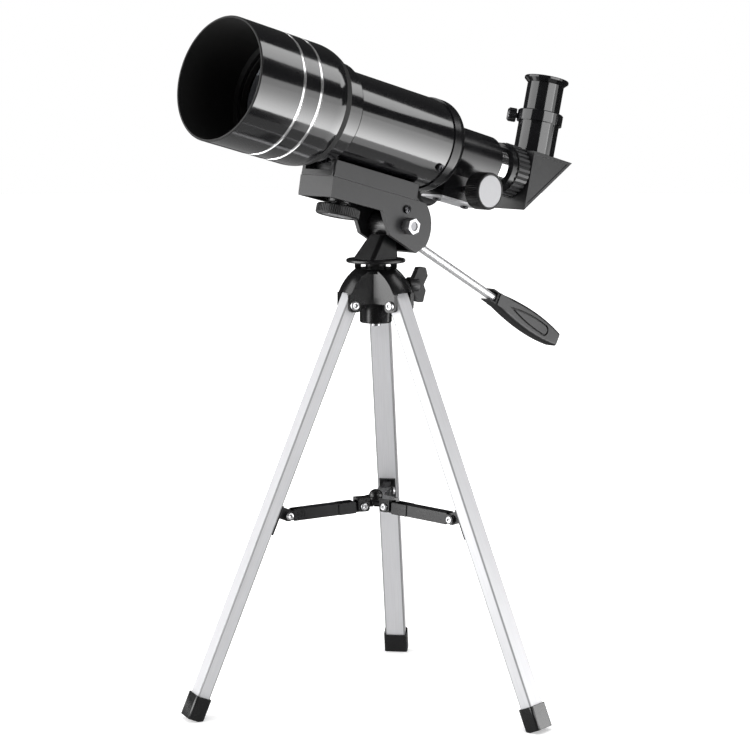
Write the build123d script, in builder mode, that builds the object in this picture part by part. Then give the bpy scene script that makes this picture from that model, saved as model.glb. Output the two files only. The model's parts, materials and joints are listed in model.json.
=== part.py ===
from build123d import *
import os
from math import atan2, cos, hypot, pi, radians, sin, sqrt, tan

# Small refractor telescope on a three-legged table tripod, in millimetres.
# The origin is on the floor under the pan axis, +Z is up and the objective looks toward -Y.
# On the tube, a station is a distance along the optical axis, positive toward the objective,
# and a lift is a height square to that axis. The tripod uses radius and height.

# General clearances
running_gap = 0.08
sliding_gap = 0.3
seat_gap = 0.1

# Optical tube
head_height = 90.4
optical_tilt = 14.2
shield_radius = 41.0
shield_wall = 1.4
shield_front = 141.0
shield_step = 92.0
shield_shoulder = 73.0
shield_rear = 60.0
shield_rear_radius = 38.4
shield_lip = 3.0
stripe_stations = (104.0, 89.0)
stripe_width = 2.2
stripe_depth = 0.4
lens_radius = 35.0
cell_wall = 2.4
cell_collar_radius = 34.4
cell_groove_radius = 33.3
cell_groove = 3.0
cell_rear = 45.0
lens_seat = 74.0
lens_front_edge = 87.8
crown_edge = 3.0
lens_air_gap = 0.4
front_curve = 180.0
inner_curve = 150.0
ring_depth = 3.5
ring_bevel = 0.6
tube_radius = 31.5
tube_wall = 1.5

# Focuser
flange_front = -44.4
flange_radius = 32.4
flange_straight = 5.6
flange_rear = -57.5
flange_rear_radius = 28.5
plug_depth = 14.4
barrel_radius = 19.3
barrel_rear = -109.0
barrel_edge = 2.2
cap_wall = 3.0
drawtube_radius = 15.0
drawtube_wall = 1.4
drawtube_front = -43.0
drawtube_rear = -124.0
collar_front = -119.5
collar_rear = -125.0
collar_radius = 17.5
spigot_rear = -135.0
clamp_ring_radius = 18.6
clamp_ring_rear = -136.6
gear_module = 0.8
gear_teeth = 15
gear_width = 7.0
tooth_share = 0.40
pinion_station = -82.5
pinion_lift = -24.3
shaft_radius = 2.5
rack_front = -44.0
rack_rear = -97.0
saddle_half_width = 11.0
saddle_half_length = 20.0
saddle_bottom = -32.0
cover_thickness = 1.4
knob_radius = 12.6
knob_inner = 22.8
knob_thickness = 13.7
knob_disc_radius = 11.2
knob_disc_depth = 1.2

# Star diagonal and eyepiece
nose_radius = 12.25
nose_front = -112.0
diagonal_front = -138.0
diagonal_top = 16.0
diagonal_bottom = -27.0
diagonal_rear = -179.0
diagonal_half_width = 18.2
diagonal_wall = 2.6
panel_rim = 2.2
panel_depth = 0.5
prism_leg = 26.0
eyepiece_station = -156.4
holder_radius = 14.7
holder_bottom = 24.0
collar_bottom = 39.5
collar_top = 47.5
holder_collar_radius = 16.4
thumbscrew_lift = 42.5
thumbscrew_turn = 43.0
thumbscrew_head = 4.5
thumbscrew_head_length = 6.5
eyepiece_radius = 13.2
eyepiece_body_top = 68.0
eyecup_radius = 16.0
eyecup_top = 72.5
eyepiece_wall = 1.4

# Mounting shoe and tilt platform
platform_half_width = 16.3
shoe_top = -30.5
shoe_bottom = -41.7
shoe_front = 44.8
shoe_rear = -35.0
shoe_wall = 4.1
shoe_floor = 4.0
insert_cover = 2.3
pad_stations = (31.0, -19.0)
pad_length = 13.0
platform_top = -41.8
platform_bottom = -55.5
platform_front = 44.5
platform_wall = 3.3
tilt_station = -29.6
tilt_lift = -60.3
cheek_radius = 23.0
cheek_throat = -5.4
cheek_knee = (-69.5, -15.6)
cheek_tip = (-76.6, -42.5)
cheek_heel = (-70.0, -50.4)
wall_drop = 8.7
throat_clear = 4.0
bolt_radius = 3.0
nut_flats = 10.0
nut_thickness = 7.0
clamp_station = 20.5
clamp_radius = 3.175
wheel_radius = 14.4
wheel_top = -57.6
wheel_bottom = -64.6
handle_start = (-67.4, -51.5)
handle_drop = 14.7
handle_radius = 3.0
grip_inset = 14.0
grip_length = 79.0
grip_front = 4.5
grip_shoulder = 7.5
grip_belly = 8.0
grip_end = 5.1
grip_thickness = 11.0
grip_slot = 5.5
grip_corner = 0.8
fork_step = 0.9
recess_start = 20.0
recess_end = 66.0
recess_round = 4.2
recess_middle = 42.0
recess_swell = 3.8
recess_groove = 1.4
recess_depth = 1.2

# Pan base
pan_flange_radius = 20.2
pan_gap = 4.0
pan_flange_thickness = 2.4
neck_foot_width = 20.6
neck_foot_depth = 25.3
neck_foot_set = -0.7
neck_waist_width = 14.0
neck_waist_depth = 14.0
neck_waist_set = -7.0
neck_waist_drop = 6.0
neck_round = 2.5
neck_half_width = 12.5
neck_head_radius = 10.0
spindle_radius = 4.5
lug_radius = 12.2
lug_size = 4.4

# Tripod crown and wing knob
first_leg_angle = -19.85
leg_count = 3
crown_height = 17.0
crown_rim_radius = 14.9
crown_rim = 1.2
crown_collar = 3.0
crown_core_radius = 12.0
crown_radius = 25.6
crown_bulge = (21.3, 8.7)
slot_rise = 1.6
ear_rise = 7.0
ear_drop = 4.6
ear_inner = 15.8
ear_outer = 23.8
ear_thickness = 3.6
skirt_radius = 9.4
skirt_height = 6.4
sleeve_radius = 11.0
sleeve_length = 13.8
sleeve_floor = 4.2
end_screw_radius = 2.0
end_screw_depth = 8.0
lock_rise = 4.4
lock_screw_radius = 2.5
lock_boss_radius = 5.4
lock_boss_end = 20.5
wing_start = 24.0
wing_end = 37.5
wing_half_height = 12.0
wing_thickness = 6.5

# Legs and spreader
leg_width = 14.5
leg_depth = 9.0
leg_wall = 1.2
leg_lean = 22.6
pivot_radius = 20.3
pivot_height = 277.0
leg_head = 6.5
pin_radius = 2.0
foot_width = 17.0
foot_depth = 11.6
foot_height = 16.5
bracket_height = 135.0
bracket_standoff = 12.84
strip_above = 5.0
strip_below = 16.0
strip_thickness = 1.6
hub_pin_radius = 11.0
hub_rise = 2.5
rivet_radius = 1.5
rivet_head = 2.5
tongue_width = 5.6
tongue_length = 36.0
tongue_height = 5.2
channel_wall = 1.2
channel_height = 8.0
channel_web = 1.0
channel_eye = 3.2
hub_clear = 17.6
fold_play = 1.7
lug_eye = 4.0
hub_boss_radius = 8.0
hub_plate_rise = 3.9
hub_plate = 1.8
hub_reach = 15.0
hub_knob_radius = 4.6
hub_knob = 5.0

# Heights that follow, from the leg pivots up to the tube and down to the spreader
crown_bottom = pivot_height + ear_rise
crown_top = crown_bottom + crown_height
slot_top = crown_bottom + slot_rise
ear_bottom = pivot_height - ear_drop
sleeve_top = crown_bottom - skirt_height
sleeve_bottom = sleeve_top - sleeve_length
lock_height = crown_bottom + lock_rise
pan_flange_bottom = crown_top + pan_gap
optical_height = pan_flange_bottom + head_height
hub_pin_height = bracket_height + hub_rise
hub_plate_bottom = hub_pin_height + hub_plate_rise
hub_plate_top = hub_plate_bottom + hub_plate

os.makedirs("parts", exist_ok=True)


def save(piece, name):
    """Label a finished piece and write it as one node."""
    piece.part.label = name
    export_step(piece.part, f"parts/{name}.step")


# Reference frames of the tube
tilt = radians(optical_tilt)
tube_origin = Vector(0, 0, optical_height)
optical = Vector(0, -cos(tilt), sin(tilt))
lift = Vector(0, sin(tilt), cos(tilt))
optical_axis = Axis(tube_origin, optical)
tube_side = Plane(origin=tube_origin, x_dir=lift, z_dir=(1, 0, 0))


def tube_point(height, station, across=0.0):
    """A point given by its lift, station and sideways place on the tube."""
    return tube_origin + lift * height + optical * station + Vector(across, 0, 0)


def across_tube(station):
    """The plane square to the optical axis, facing the objective."""
    return Plane(origin=tube_point(0, station), x_dir=(1, 0, 0), z_dir=optical)


def above_tube(height, station):
    """The plane parallel to the optical axis, facing up from the tube."""
    return Plane(origin=tube_point(height, station), x_dir=(1, 0, 0), z_dir=lift)


def turned(profile, axis=optical_axis, plane=tube_side):
    """A solid of revolution from a closed outline of straight edges."""
    with BuildPart() as piece:
        with BuildSketch(plane):
            with BuildLine():
                Polyline(*profile, close=True)
            make_face()
        revolve(axis=axis)
    return piece


# Dew shield: thin front, thicker seat on the cell, rounded rear shoulder and two bright-cut rings
cell_radius = lens_radius + cell_wall
with BuildPart() as dew_shield:
    with BuildSketch(tube_side):
        with BuildLine():
            Polyline(
                (shield_rear_radius, shield_rear),
                (cell_collar_radius + seat_gap, shield_rear),
                (cell_collar_radius + seat_gap, shield_rear + shield_lip),
                (cell_radius + seat_gap, shield_rear + shield_lip),
                (cell_radius + seat_gap, shield_step),
                (shield_radius - shield_wall, shield_step + 2),
                (shield_radius - shield_wall, shield_front),
                (shield_radius - 0.4, shield_front),
                (shield_radius, shield_front - 0.6),
                (shield_radius, shield_shoulder),
            )
            TangentArc(
                (shield_radius, shield_shoulder),
                (shield_rear_radius, shield_rear),
                tangent=(0, -1),
            )
        make_face()
        with Locations([(shield_radius, station) for station in stripe_stations]):
            Rectangle(2 * stripe_depth, stripe_width, mode=Mode.SUBTRACT)
    revolve(axis=optical_axis)
save(dew_shield, "dew_shield")

# Objective cell: lens seat in front, socket for the main tube behind
tube_bore = tube_radius - tube_wall
socket_radius = tube_radius + 0.05
objective_cell = turned([
    (lens_radius + seat_gap, shield_step),
    (cell_radius, shield_step),
    (cell_radius, shield_rear + shield_lip + seat_gap),
    (cell_collar_radius, shield_rear + shield_lip + seat_gap),
    (cell_collar_radius, shield_rear),
    (cell_groove_radius, shield_rear),
    (cell_groove_radius, shield_rear - cell_groove),
    (cell_collar_radius, shield_rear - cell_groove),
    (cell_collar_radius, cell_rear + 1),
    (cell_collar_radius - 0.6, cell_rear),
    (socket_radius, cell_rear),
    (socket_radius, shield_rear),
    (tube_bore, shield_rear),
    (tube_bore, shield_rear + 2),
    (lens_radius - 2, lens_seat - 4),
    (lens_radius - 2, lens_seat),
    (lens_radius + seat_gap, lens_seat),
])
save(objective_cell, "objective_cell")

lens_retaining_ring = turned([
    (lens_radius - 2, lens_front_edge + ring_bevel),
    (lens_radius, lens_front_edge + seat_gap),
    (lens_radius, lens_front_edge + ring_depth),
    (lens_radius - 1.4, lens_front_edge + ring_depth),
])
save(lens_retaining_ring, "lens_retaining_ring")


def lens_bulge(curve):
    """How far a lens face of this radius stands out at the middle."""
    return curve - sqrt(curve**2 - lens_radius**2)


# Crown lens: convex on both faces
crown_rear_edge = lens_front_edge - crown_edge
crown_front_middle = lens_front_edge + lens_bulge(front_curve)
crown_rear_middle = crown_rear_edge - lens_bulge(inner_curve)
with BuildPart() as crown_lens:
    with BuildSketch(tube_side):
        with BuildLine():
            RadiusArc((0, crown_front_middle), (lens_radius, lens_front_edge), front_curve)
            Line((lens_radius, lens_front_edge), (lens_radius, crown_rear_edge))
            RadiusArc((lens_radius, crown_rear_edge), (0, crown_rear_middle), inner_curve)
            Line((0, crown_rear_middle), (0, crown_front_middle))
        make_face()
    revolve(axis=optical_axis)
save(crown_lens, "crown_lens")

# Flint lens: hollow front face nested behind the crown lens, flat rear face on the seat
flint_edge = crown_rear_edge - lens_air_gap
flint_middle = crown_rear_middle - lens_air_gap
with BuildPart() as flint_lens:
    with BuildSketch(tube_side):
        with BuildLine():
            RadiusArc((lens_radius, flint_edge), (0, flint_middle), inner_curve)
            Polyline(
                (0, flint_middle),
                (0, lens_seat + seat_gap),
                (lens_radius, lens_seat + seat_gap),
                (lens_radius, flint_edge),
            )
        make_face()
    revolve(axis=optical_axis)
save(flint_lens, "flint_lens")

# Main tube, with holes for the flange screws
screw_station = flange_front + 4.6
screw_angles = (-33, 213)
screw_hole = 1.6
with BuildPart() as main_tube:
    with BuildSketch(across_tube(flange_front)):
        Circle(tube_radius)
        Circle(tube_bore, mode=Mode.SUBTRACT)
    extrude(amount=shield_rear - seat_gap - flange_front)
    for angle in screw_angles:
        outward = Vector(cos(radians(angle)), 0, 0) + lift * sin(radians(angle))
        with BuildSketch(Plane(origin=tube_point(0, screw_station), x_dir=optical, z_dir=outward)):
            Circle(screw_hole)
        extrude(amount=tube_radius + 1, mode=Mode.SUBTRACT)
save(main_tube, "main_tube")

# Focuser housing: plug and flange in the tube, barrel for the drawtube, saddle for the pinion
barrel_bore = drawtube_radius + sliding_gap
pitch_radius = gear_module * gear_teeth / 2
pitch_line = pinion_lift + pitch_radius
rack_tip = pitch_line - gear_module
keyway_bottom = rack_tip - 2 * sliding_gap
saddle_root = 12.0
cavity_radius = pitch_radius + gear_module + 2 * sliding_gap
cover_screw_pitch = 28.0
plug_radius = tube_bore - seat_gap
cap_front = flange_rear + 2 * cap_wall
rib_length = 20
with BuildPart() as focuser_housing:
    with BuildSketch(tube_side):
        with BuildLine():
            Polyline(
                (flange_rear_radius, flange_rear),
                (barrel_radius, flange_rear),
                (barrel_radius - 0.3, barrel_rear + barrel_edge),
                (barrel_radius - barrel_edge, barrel_rear),
                (barrel_bore, barrel_rear),
                (barrel_bore, flange_rear + cap_wall),
                (plug_radius - cap_wall, cap_front),
                (plug_radius - cap_wall, flange_front + plug_depth),
                (plug_radius, flange_front + plug_depth),
                (plug_radius, flange_front),
                (flange_radius, flange_front),
                (flange_radius, flange_front - flange_straight),
            )
            TangentArc(
                (flange_radius, flange_front - flange_straight),
                (flange_rear_radius, flange_rear),
                tangent=(0, -1),
            )
        make_face()
    revolve(axis=optical_axis)
    with BuildSketch(tube_side):
        with Locations((barrel_radius, flange_rear - rib_length / 2)):
            Rectangle(3, rib_length)
    extrude(amount=2, both=True)
    with BuildSketch(tube_side):
        with Locations(((saddle_bottom - saddle_root) / 2, pinion_station)):
            Rectangle(-saddle_bottom - saddle_root, 2 * saddle_half_length)
    extrude(amount=saddle_half_width, both=True)
    with BuildSketch(across_tube(cap_front)):
        Circle(barrel_bore)
        with Locations((0, (keyway_bottom - saddle_root) / 2)):
            Rectangle(gear_width + 2 * sliding_gap, -keyway_bottom - saddle_root)
    extrude(amount=barrel_rear - cap_front - 1, mode=Mode.SUBTRACT)
    with BuildSketch(tube_side):
        with Locations((pinion_lift, pinion_station)):
            Circle(cavity_radius)
        with Locations((saddle_bottom, pinion_station)):
            Rectangle(2 * (pinion_lift - saddle_bottom), 2 * cavity_radius)
    extrude(amount=gear_width / 2 + 1, both=True, mode=Mode.SUBTRACT)
    with BuildSketch(tube_side):
        with Locations((pinion_lift, pinion_station)):
            Circle(shaft_radius + running_gap)
    extrude(amount=saddle_half_width + 1, both=True, mode=Mode.SUBTRACT)
    with BuildSketch(above_tube(saddle_bottom, pinion_station)):
        with GridLocations(0, cover_screw_pitch, 1, 2):
            Circle(screw_hole)
    extrude(amount=6, mode=Mode.SUBTRACT)
    for angle in screw_angles:
        outward = Vector(cos(radians(angle)), 0, 0) + lift * sin(radians(angle))
        with BuildSketch(Plane(origin=tube_point(0, screw_station), x_dir=optical, z_dir=outward)):
            Circle(screw_hole)
        extrude(amount=plug_radius + 1, mode=Mode.SUBTRACT)
save(focuser_housing, "focuser_housing")

# Pinion cover: thin plate under the saddle
cover_top = saddle_bottom - seat_gap
with BuildPart() as pinion_cover:
    with BuildSketch(above_tube(cover_top, pinion_station)):
        RectangleRounded(2 * saddle_half_width, 2 * saddle_half_length, 2)
        with GridLocations(0, cover_screw_pitch, 1, 2):
            Circle(screw_hole, mode=Mode.SUBTRACT)
    extrude(amount=-cover_thickness)
save(pinion_cover, "pinion_cover")

# Small screws: two in the tube flange, two under the pinion cover, two in the tilt cheeks
cheek_screw_lift = -49.5
cheek_screw_station = -26.4
screw_seats = [
    Plane(
        origin=tube_point(0, screw_station)
        + (Vector(cos(radians(angle)), 0, 0) + lift * sin(radians(angle))) * tube_radius,
        x_dir=optical,
        z_dir=Vector(cos(radians(angle)), 0, 0) + lift * sin(radians(angle)),
    )
    for angle in screw_angles
]
screw_seats += [
    Plane(
        origin=tube_point(cover_top - cover_thickness, pinion_station + place),
        x_dir=(1, 0, 0),
        z_dir=-lift,
    )
    for place in (-cover_screw_pitch / 2, cover_screw_pitch / 2)
]
screw_seats += [
    Plane(
        origin=tube_point(cheek_screw_lift, cheek_screw_station, side * platform_half_width),
        x_dir=optical,
        z_dir=(side, 0, 0),
    )
    for side in (-1, 1)
]
screw_head = 2.8
screw_head_height = 1.2
screw_length = 3.0
with BuildPart() as small_screws:
    for seat in screw_seats:
        with BuildSketch(seat.offset(0.15)):
            Circle(screw_head)
            RectangleRounded(0.9, 3.2, 0.2, mode=Mode.SUBTRACT)
        extrude(amount=screw_head_height)
        with BuildSketch(seat.offset(0.3)):
            Circle(1.5)
        extrude(amount=-screw_length)
save(small_screws, "small_screws")

# Mounting shoe: tray open to the front, with two saddle pads that carry the tube and a boss
insert_radius = 5.0
insert_top = -tube_radius - insert_cover
boss_radius = 7.6
shoe_pocket = platform_half_width - shoe_wall
shoe_middle = (shoe_front + shoe_rear) / 2
with BuildPart() as mounting_shoe:
    with BuildSketch(above_tube(shoe_bottom, shoe_middle)):
        RectangleRounded(2 * platform_half_width, shoe_front - shoe_rear, 1.5)
    extrude(amount=shoe_top - shoe_bottom)
    with BuildSketch(above_tube(shoe_bottom + shoe_floor, shoe_middle + shoe_wall)):
        Rectangle(2 * shoe_pocket, shoe_front - shoe_rear)
    extrude(amount=shoe_top - shoe_bottom, mode=Mode.SUBTRACT)
    with BuildSketch(above_tube(shoe_bottom + shoe_floor / 2, 0)):
        with Locations([(0, -station) for station in pad_stations]):
            Rectangle(2 * shoe_pocket + 1, pad_length)
        with Locations((0, -clamp_station)):
            Circle(boss_radius)
    extrude(amount=shoe_top - shoe_bottom - shoe_floor / 2)
    with BuildSketch(across_tube(shoe_rear - 1)):
        Circle(tube_radius + seat_gap)
    extrude(amount=shoe_front - shoe_rear + 2, mode=Mode.SUBTRACT)
    with BuildSketch(above_tube(shoe_bottom, clamp_station)):
        Circle(insert_radius + 0.02)
    extrude(amount=insert_top - shoe_bottom, mode=Mode.SUBTRACT)
save(mounting_shoe, "mounting_shoe")

with BuildPart() as threaded_insert:
    with BuildSketch(above_tube(shoe_bottom, clamp_station)):
        Circle(insert_radius)
        Circle(clamp_radius + running_gap, mode=Mode.SUBTRACT)
    extrude(amount=insert_top - seat_gap - shoe_bottom)
save(threaded_insert, "threaded_insert")

# Drawtube, rack and the collar that holds the diagonal
drawtube = turned([
    (drawtube_radius - drawtube_wall, drawtube_rear),
    (drawtube_radius, drawtube_rear),
    (drawtube_radius, drawtube_front),
    (drawtube_radius - drawtube_wall, drawtube_front),
])
save(drawtube, "drawtube")

tooth_pitch = pi * gear_module
tooth_width = tooth_share * tooth_pitch
tooth_slope = 0.3
tooth_root = 1.25 * gear_module
tooth_root_line = pitch_line + tooth_root
rack_teeth = int((rack_front - rack_rear) / tooth_pitch) - 1
first_tooth = pinion_station + tooth_pitch * (int((rack_front - pinion_station) / tooth_pitch) - 0.5)
with BuildPart() as focus_rack:
    with BuildSketch(tube_side):
        with Locations(((tooth_root_line - saddle_root) / 2, (rack_front + rack_rear) / 2)):
            Rectangle(-tooth_root_line - saddle_root, rack_front - rack_rear)
    extrude(amount=gear_width / 2, both=True)
    with BuildSketch(tube_side):
        with Locations([(pitch_line, first_tooth - tooth_pitch * count) for count in range(rack_teeth)]):
            Polygon(
                (tooth_root, tooth_width / 2 + tooth_slope),
                (-gear_module, tooth_width / 2 - tooth_slope),
                (-gear_module, tooth_slope - tooth_width / 2),
                (tooth_root, -tooth_width / 2 - tooth_slope),
                align=None,
            )
    extrude(amount=gear_width / 2, both=True)
    with BuildSketch(across_tube(rack_rear - 1)):
        Circle(drawtube_radius + 0.02)
    extrude(amount=rack_front - rack_rear + 2, mode=Mode.SUBTRACT)
save(focus_rack, "focus_rack")

spigot_radius = drawtube_radius
nose_socket = nose_radius + running_gap
drawtube_collar = turned([
    (drawtube_radius + 0.02, collar_front),
    (collar_radius - 0.5, collar_front),
    (collar_radius, collar_front - 0.5),
    (collar_radius, collar_rear),
    (spigot_radius, collar_rear),
    (spigot_radius, spigot_rear),
    (nose_socket, spigot_rear),
    (nose_socket, drawtube_rear - seat_gap),
    (drawtube_radius + 0.02, drawtube_rear - seat_gap),
])
save(drawtube_collar, "drawtube_collar")

# Clamp ring: coarse ribs round a ring that turns on the collar spigot
ring_ribs = 30
ring_core = clamp_ring_radius - 0.7
ring_front = collar_rear - sliding_gap
with BuildPart() as clamp_ring:
    with BuildSketch(across_tube(clamp_ring_rear)):
        Circle(ring_core)
        with PolarLocations(ring_core, ring_ribs):
            Rectangle(1.4, 1.9)
        Circle(spigot_radius + running_gap, mode=Mode.SUBTRACT)
    extrude(amount=ring_front - clamp_ring_rear)
save(clamp_ring, "clamp_ring")

# Pinion: shaft with its gear, and the two focus knobs
shaft_half = knob_inner + knob_thickness - 3
gear_root = pitch_radius - tooth_root
with BuildPart() as pinion:
    with BuildSketch(tube_side):
        with Locations((pinion_lift, pinion_station)):
            Circle(shaft_radius)
    extrude(amount=shaft_half, both=True)
    with BuildSketch(Plane(origin=tube_point(pinion_lift, pinion_station), x_dir=lift, z_dir=(1, 0, 0))):
        Circle(gear_root)
        with PolarLocations(pitch_radius, gear_teeth):
            Polygon(
                (-tooth_root - 0.3, tooth_width / 2 + tooth_slope),
                (gear_module, tooth_width / 2 - tooth_slope),
                (gear_module, tooth_slope - tooth_width / 2),
                (-tooth_root - 0.3, -tooth_width / 2 - tooth_slope),
                align=None,
            )
    extrude(amount=gear_width / 2, both=True)
save(pinion, "pinion")

pinion_axis = Axis(tube_point(pinion_lift, pinion_station), (1, 0, 0))
knob_face = knob_inner + knob_thickness
knob_socket = shaft_half + seat_gap
for side, side_name in ((1, "left"), (-1, "right")):
    knob_side = Plane(
        origin=tube_point(pinion_lift, pinion_station), x_dir=(side, 0, 0), z_dir=optical * side
    )
    focus_knob = turned(
        [
            (knob_inner, shaft_radius + 0.02),
            (knob_inner, knob_radius - 1.2),
            (knob_inner + 1.2, knob_radius),
            (knob_face - 0.6, knob_radius),
            (knob_face, knob_radius - 0.6),
            (knob_face, knob_disc_radius),
            (knob_face - knob_disc_depth, knob_disc_radius),
            (knob_face - knob_disc_depth, 0),
            (knob_socket, 0),
            (knob_socket, shaft_radius + 0.02),
        ],
        axis=pinion_axis,
        plane=knob_side,
    )
    save(focus_knob, f"focus_knob_{side_name}")

# Face discs let into the outer ends of the focus knobs
with BuildPart() as knob_discs:
    for side in (1, -1):
        disc_seat = Plane(
            origin=tube_point(pinion_lift, pinion_station, side * (knob_face - knob_disc_depth)),
            x_dir=lift,
            z_dir=(side, 0, 0),
        )
        with BuildSketch(disc_seat):
            Circle(knob_disc_radius - 0.05)
        extrude(amount=knob_disc_depth - 0.3)
save(knob_discs, "knob_discs")

# Star diagonal: hollow wedge with framed sides, a round entrance in front and an exit on top
wedge = [
    (diagonal_top, diagonal_front),
    (diagonal_bottom, diagonal_front),
    (diagonal_top, diagonal_rear),
]
nose_bore = nose_radius - 1.6
with BuildPart() as diagonal_housing:
    with BuildSketch(tube_side):
        with BuildLine():
            Polyline(*wedge, close=True)
        make_face()
    extrude(amount=diagonal_half_width, both=True)
    with BuildSketch(tube_side):
        with BuildLine():
            Polyline(*wedge, close=True)
        make_face()
        offset(amount=-diagonal_wall, kind=Kind.INTERSECTION, mode=Mode.REPLACE)
    extrude(amount=diagonal_half_width - diagonal_wall, both=True, mode=Mode.SUBTRACT)
    for side in (1, -1):
        with BuildSketch(tube_side.offset(side * diagonal_half_width)):
            with BuildLine():
                Polyline(*wedge, close=True)
            make_face()
            offset(amount=-panel_rim, kind=Kind.INTERSECTION, mode=Mode.REPLACE)
        extrude(amount=-side * panel_depth, mode=Mode.SUBTRACT)
    with BuildSketch(across_tube(diagonal_front + 1)):
        Circle(nose_radius + 0.02)
    extrude(amount=-diagonal_wall - 2, mode=Mode.SUBTRACT)
    with BuildSketch(above_tube(diagonal_top + 1, eyepiece_station)):
        Circle(nose_radius + 0.4)
    extrude(amount=-diagonal_wall - 2, mode=Mode.SUBTRACT)
save(diagonal_housing, "diagonal_housing")

# Prism: its top face lies against the housing, its slope turns the light up to the eyepiece
prism_top = diagonal_top - diagonal_wall - seat_gap
prism_front = eyepiece_station + prism_top
with BuildPart() as diagonal_prism:
    with BuildSketch(tube_side):
        with BuildLine():
            Polyline(
                (prism_top, prism_front),
                (prism_top - prism_leg, prism_front),
                (prism_top, prism_front - prism_leg),
                close=True,
            )
        make_face()
    extrude(amount=prism_leg / 2, both=True)
save(diagonal_prism, "diagonal_prism")

diagonal_nose = turned([
    (nose_bore, diagonal_front - diagonal_wall),
    (nose_radius, diagonal_front - diagonal_wall),
    (nose_radius, nose_front - 0.6),
    (nose_radius - 0.6, nose_front),
    (nose_bore, nose_front),
])
save(diagonal_nose, "diagonal_nose")

# Eyepiece holder: tube on top of the diagonal with a thicker collar for the thumbscrew
eyepiece_side = Plane(origin=tube_point(0, eyepiece_station), x_dir=optical, z_dir=(-1, 0, 0))
eyepiece_axis = Axis(tube_point(0, eyepiece_station), lift)
thumbscrew_out = optical * cos(radians(thumbscrew_turn)) - Vector(sin(radians(thumbscrew_turn)), 0, 0)
thumbscrew_plane = Plane(
    origin=tube_point(thumbscrew_lift, eyepiece_station), x_dir=lift, z_dir=thumbscrew_out
)
thumbscrew_shank = 1.9
with BuildPart() as eyepiece_holder:
    with BuildSketch(eyepiece_side):
        with BuildLine():
            Polyline(
                (nose_radius + 0.38, diagonal_top - diagonal_wall + seat_gap),
                (nose_radius + 0.38, diagonal_top),
                (holder_radius, diagonal_top),
                (holder_radius, collar_bottom),
                (holder_collar_radius, collar_bottom),
                (holder_collar_radius, collar_top - 0.6),
                (holder_collar_radius - 0.6, collar_top),
                (nose_socket, collar_top),
                (nose_socket, holder_bottom),
                (nose_bore, holder_bottom),
                (nose_bore, diagonal_top - diagonal_wall + seat_gap),
                close=True,
            )
        make_face()
    revolve(axis=eyepiece_axis)
    with BuildSketch(thumbscrew_plane):
        Circle(thumbscrew_shank + running_gap)
    extrude(amount=holder_collar_radius + 1, mode=Mode.SUBTRACT)
save(eyepiece_holder, "eyepiece_holder")

thumbscrew_tip = nose_radius + 0.4
thumbscrew_face = holder_collar_radius + 0.8
with BuildPart() as holder_thumbscrew:
    with BuildSketch(thumbscrew_plane.offset(thumbscrew_tip)):
        Circle(thumbscrew_shank)
    extrude(amount=thumbscrew_face - thumbscrew_tip + 1)
    with BuildSketch(thumbscrew_plane.offset(thumbscrew_face)):
        Circle(thumbscrew_head)
    extrude(amount=thumbscrew_head_length)
    thumbscrew_axis = Axis(thumbscrew_plane.origin, thumbscrew_out)
    chamfer(edges().filter_by(GeomType.CIRCLE).sort_by(thumbscrew_axis)[-1], 0.8)
save(holder_thumbscrew, "holder_thumbscrew")

# Eyepiece: chrome barrel in the holder, body with its shoulder on the collar, flared eyecup
body_bottom = collar_top + seat_gap
barrel_top = body_bottom + 5
eye_bore = 9.4
eyepiece_body = turned(
    [
        (nose_radius + 0.02, body_bottom),
        (eyepiece_radius, body_bottom),
        (eyepiece_radius, eyepiece_body_top),
        (eye_bore, eyepiece_body_top),
        (eye_bore, barrel_top),
        (nose_radius + 0.02, barrel_top),
    ],
    axis=eyepiece_axis,
    plane=eyepiece_side,
)
save(eyepiece_body, "eyepiece_body")

barrel_inner = nose_radius - eyepiece_wall
eyepiece_barrel = turned(
    [
        (barrel_inner, holder_bottom + 0.6),
        (nose_radius - 0.4, holder_bottom + 0.6),
        (nose_radius, holder_bottom + 1.4),
        (nose_radius, barrel_top - seat_gap),
        (barrel_inner, barrel_top - seat_gap),
    ],
    axis=eyepiece_axis,
    plane=eyepiece_side,
)
save(eyepiece_barrel, "eyepiece_barrel")

eyecup = turned(
    [
        (eye_bore + 0.1, eyepiece_body_top + 0.05),
        (eyepiece_radius, eyepiece_body_top + 0.05),
        (eyecup_radius, eyecup_top - 1.8),
        (eyecup_radius, eyecup_top - 0.4),
        (eyecup_radius - 0.4, eyecup_top),
        (eyecup_radius - 1.6, eyecup_top),
        (eye_bore + 0.1, eyepiece_body_top + 1.6),
    ],
    axis=eyepiece_axis,
    plane=eyepiece_side,
)
save(eyecup, "eyecup")


def bulged_lens(radius, bottom, edge, bulge):
    """A lens on the eyepiece axis with a flat bottom and a domed top."""
    with BuildPart() as lens:
        with BuildSketch(eyepiece_side):
            with BuildLine():
                Polyline((0, bottom + edge + bulge), (0, bottom), (radius, bottom), (radius, bottom + edge))
                TangentArc((0, bottom + edge + bulge), (radius, bottom + edge), tangent=(1, 0))
            make_face()
        revolve(axis=eyepiece_axis)
    return lens


save(bulged_lens(eye_bore - 0.05, eyepiece_body_top - 4.5, 2.5, 1.6), "eye_lens")
save(bulged_lens(barrel_inner - 0.05, holder_bottom + 5, 1.8, 2.4), "field_lens")

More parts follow.
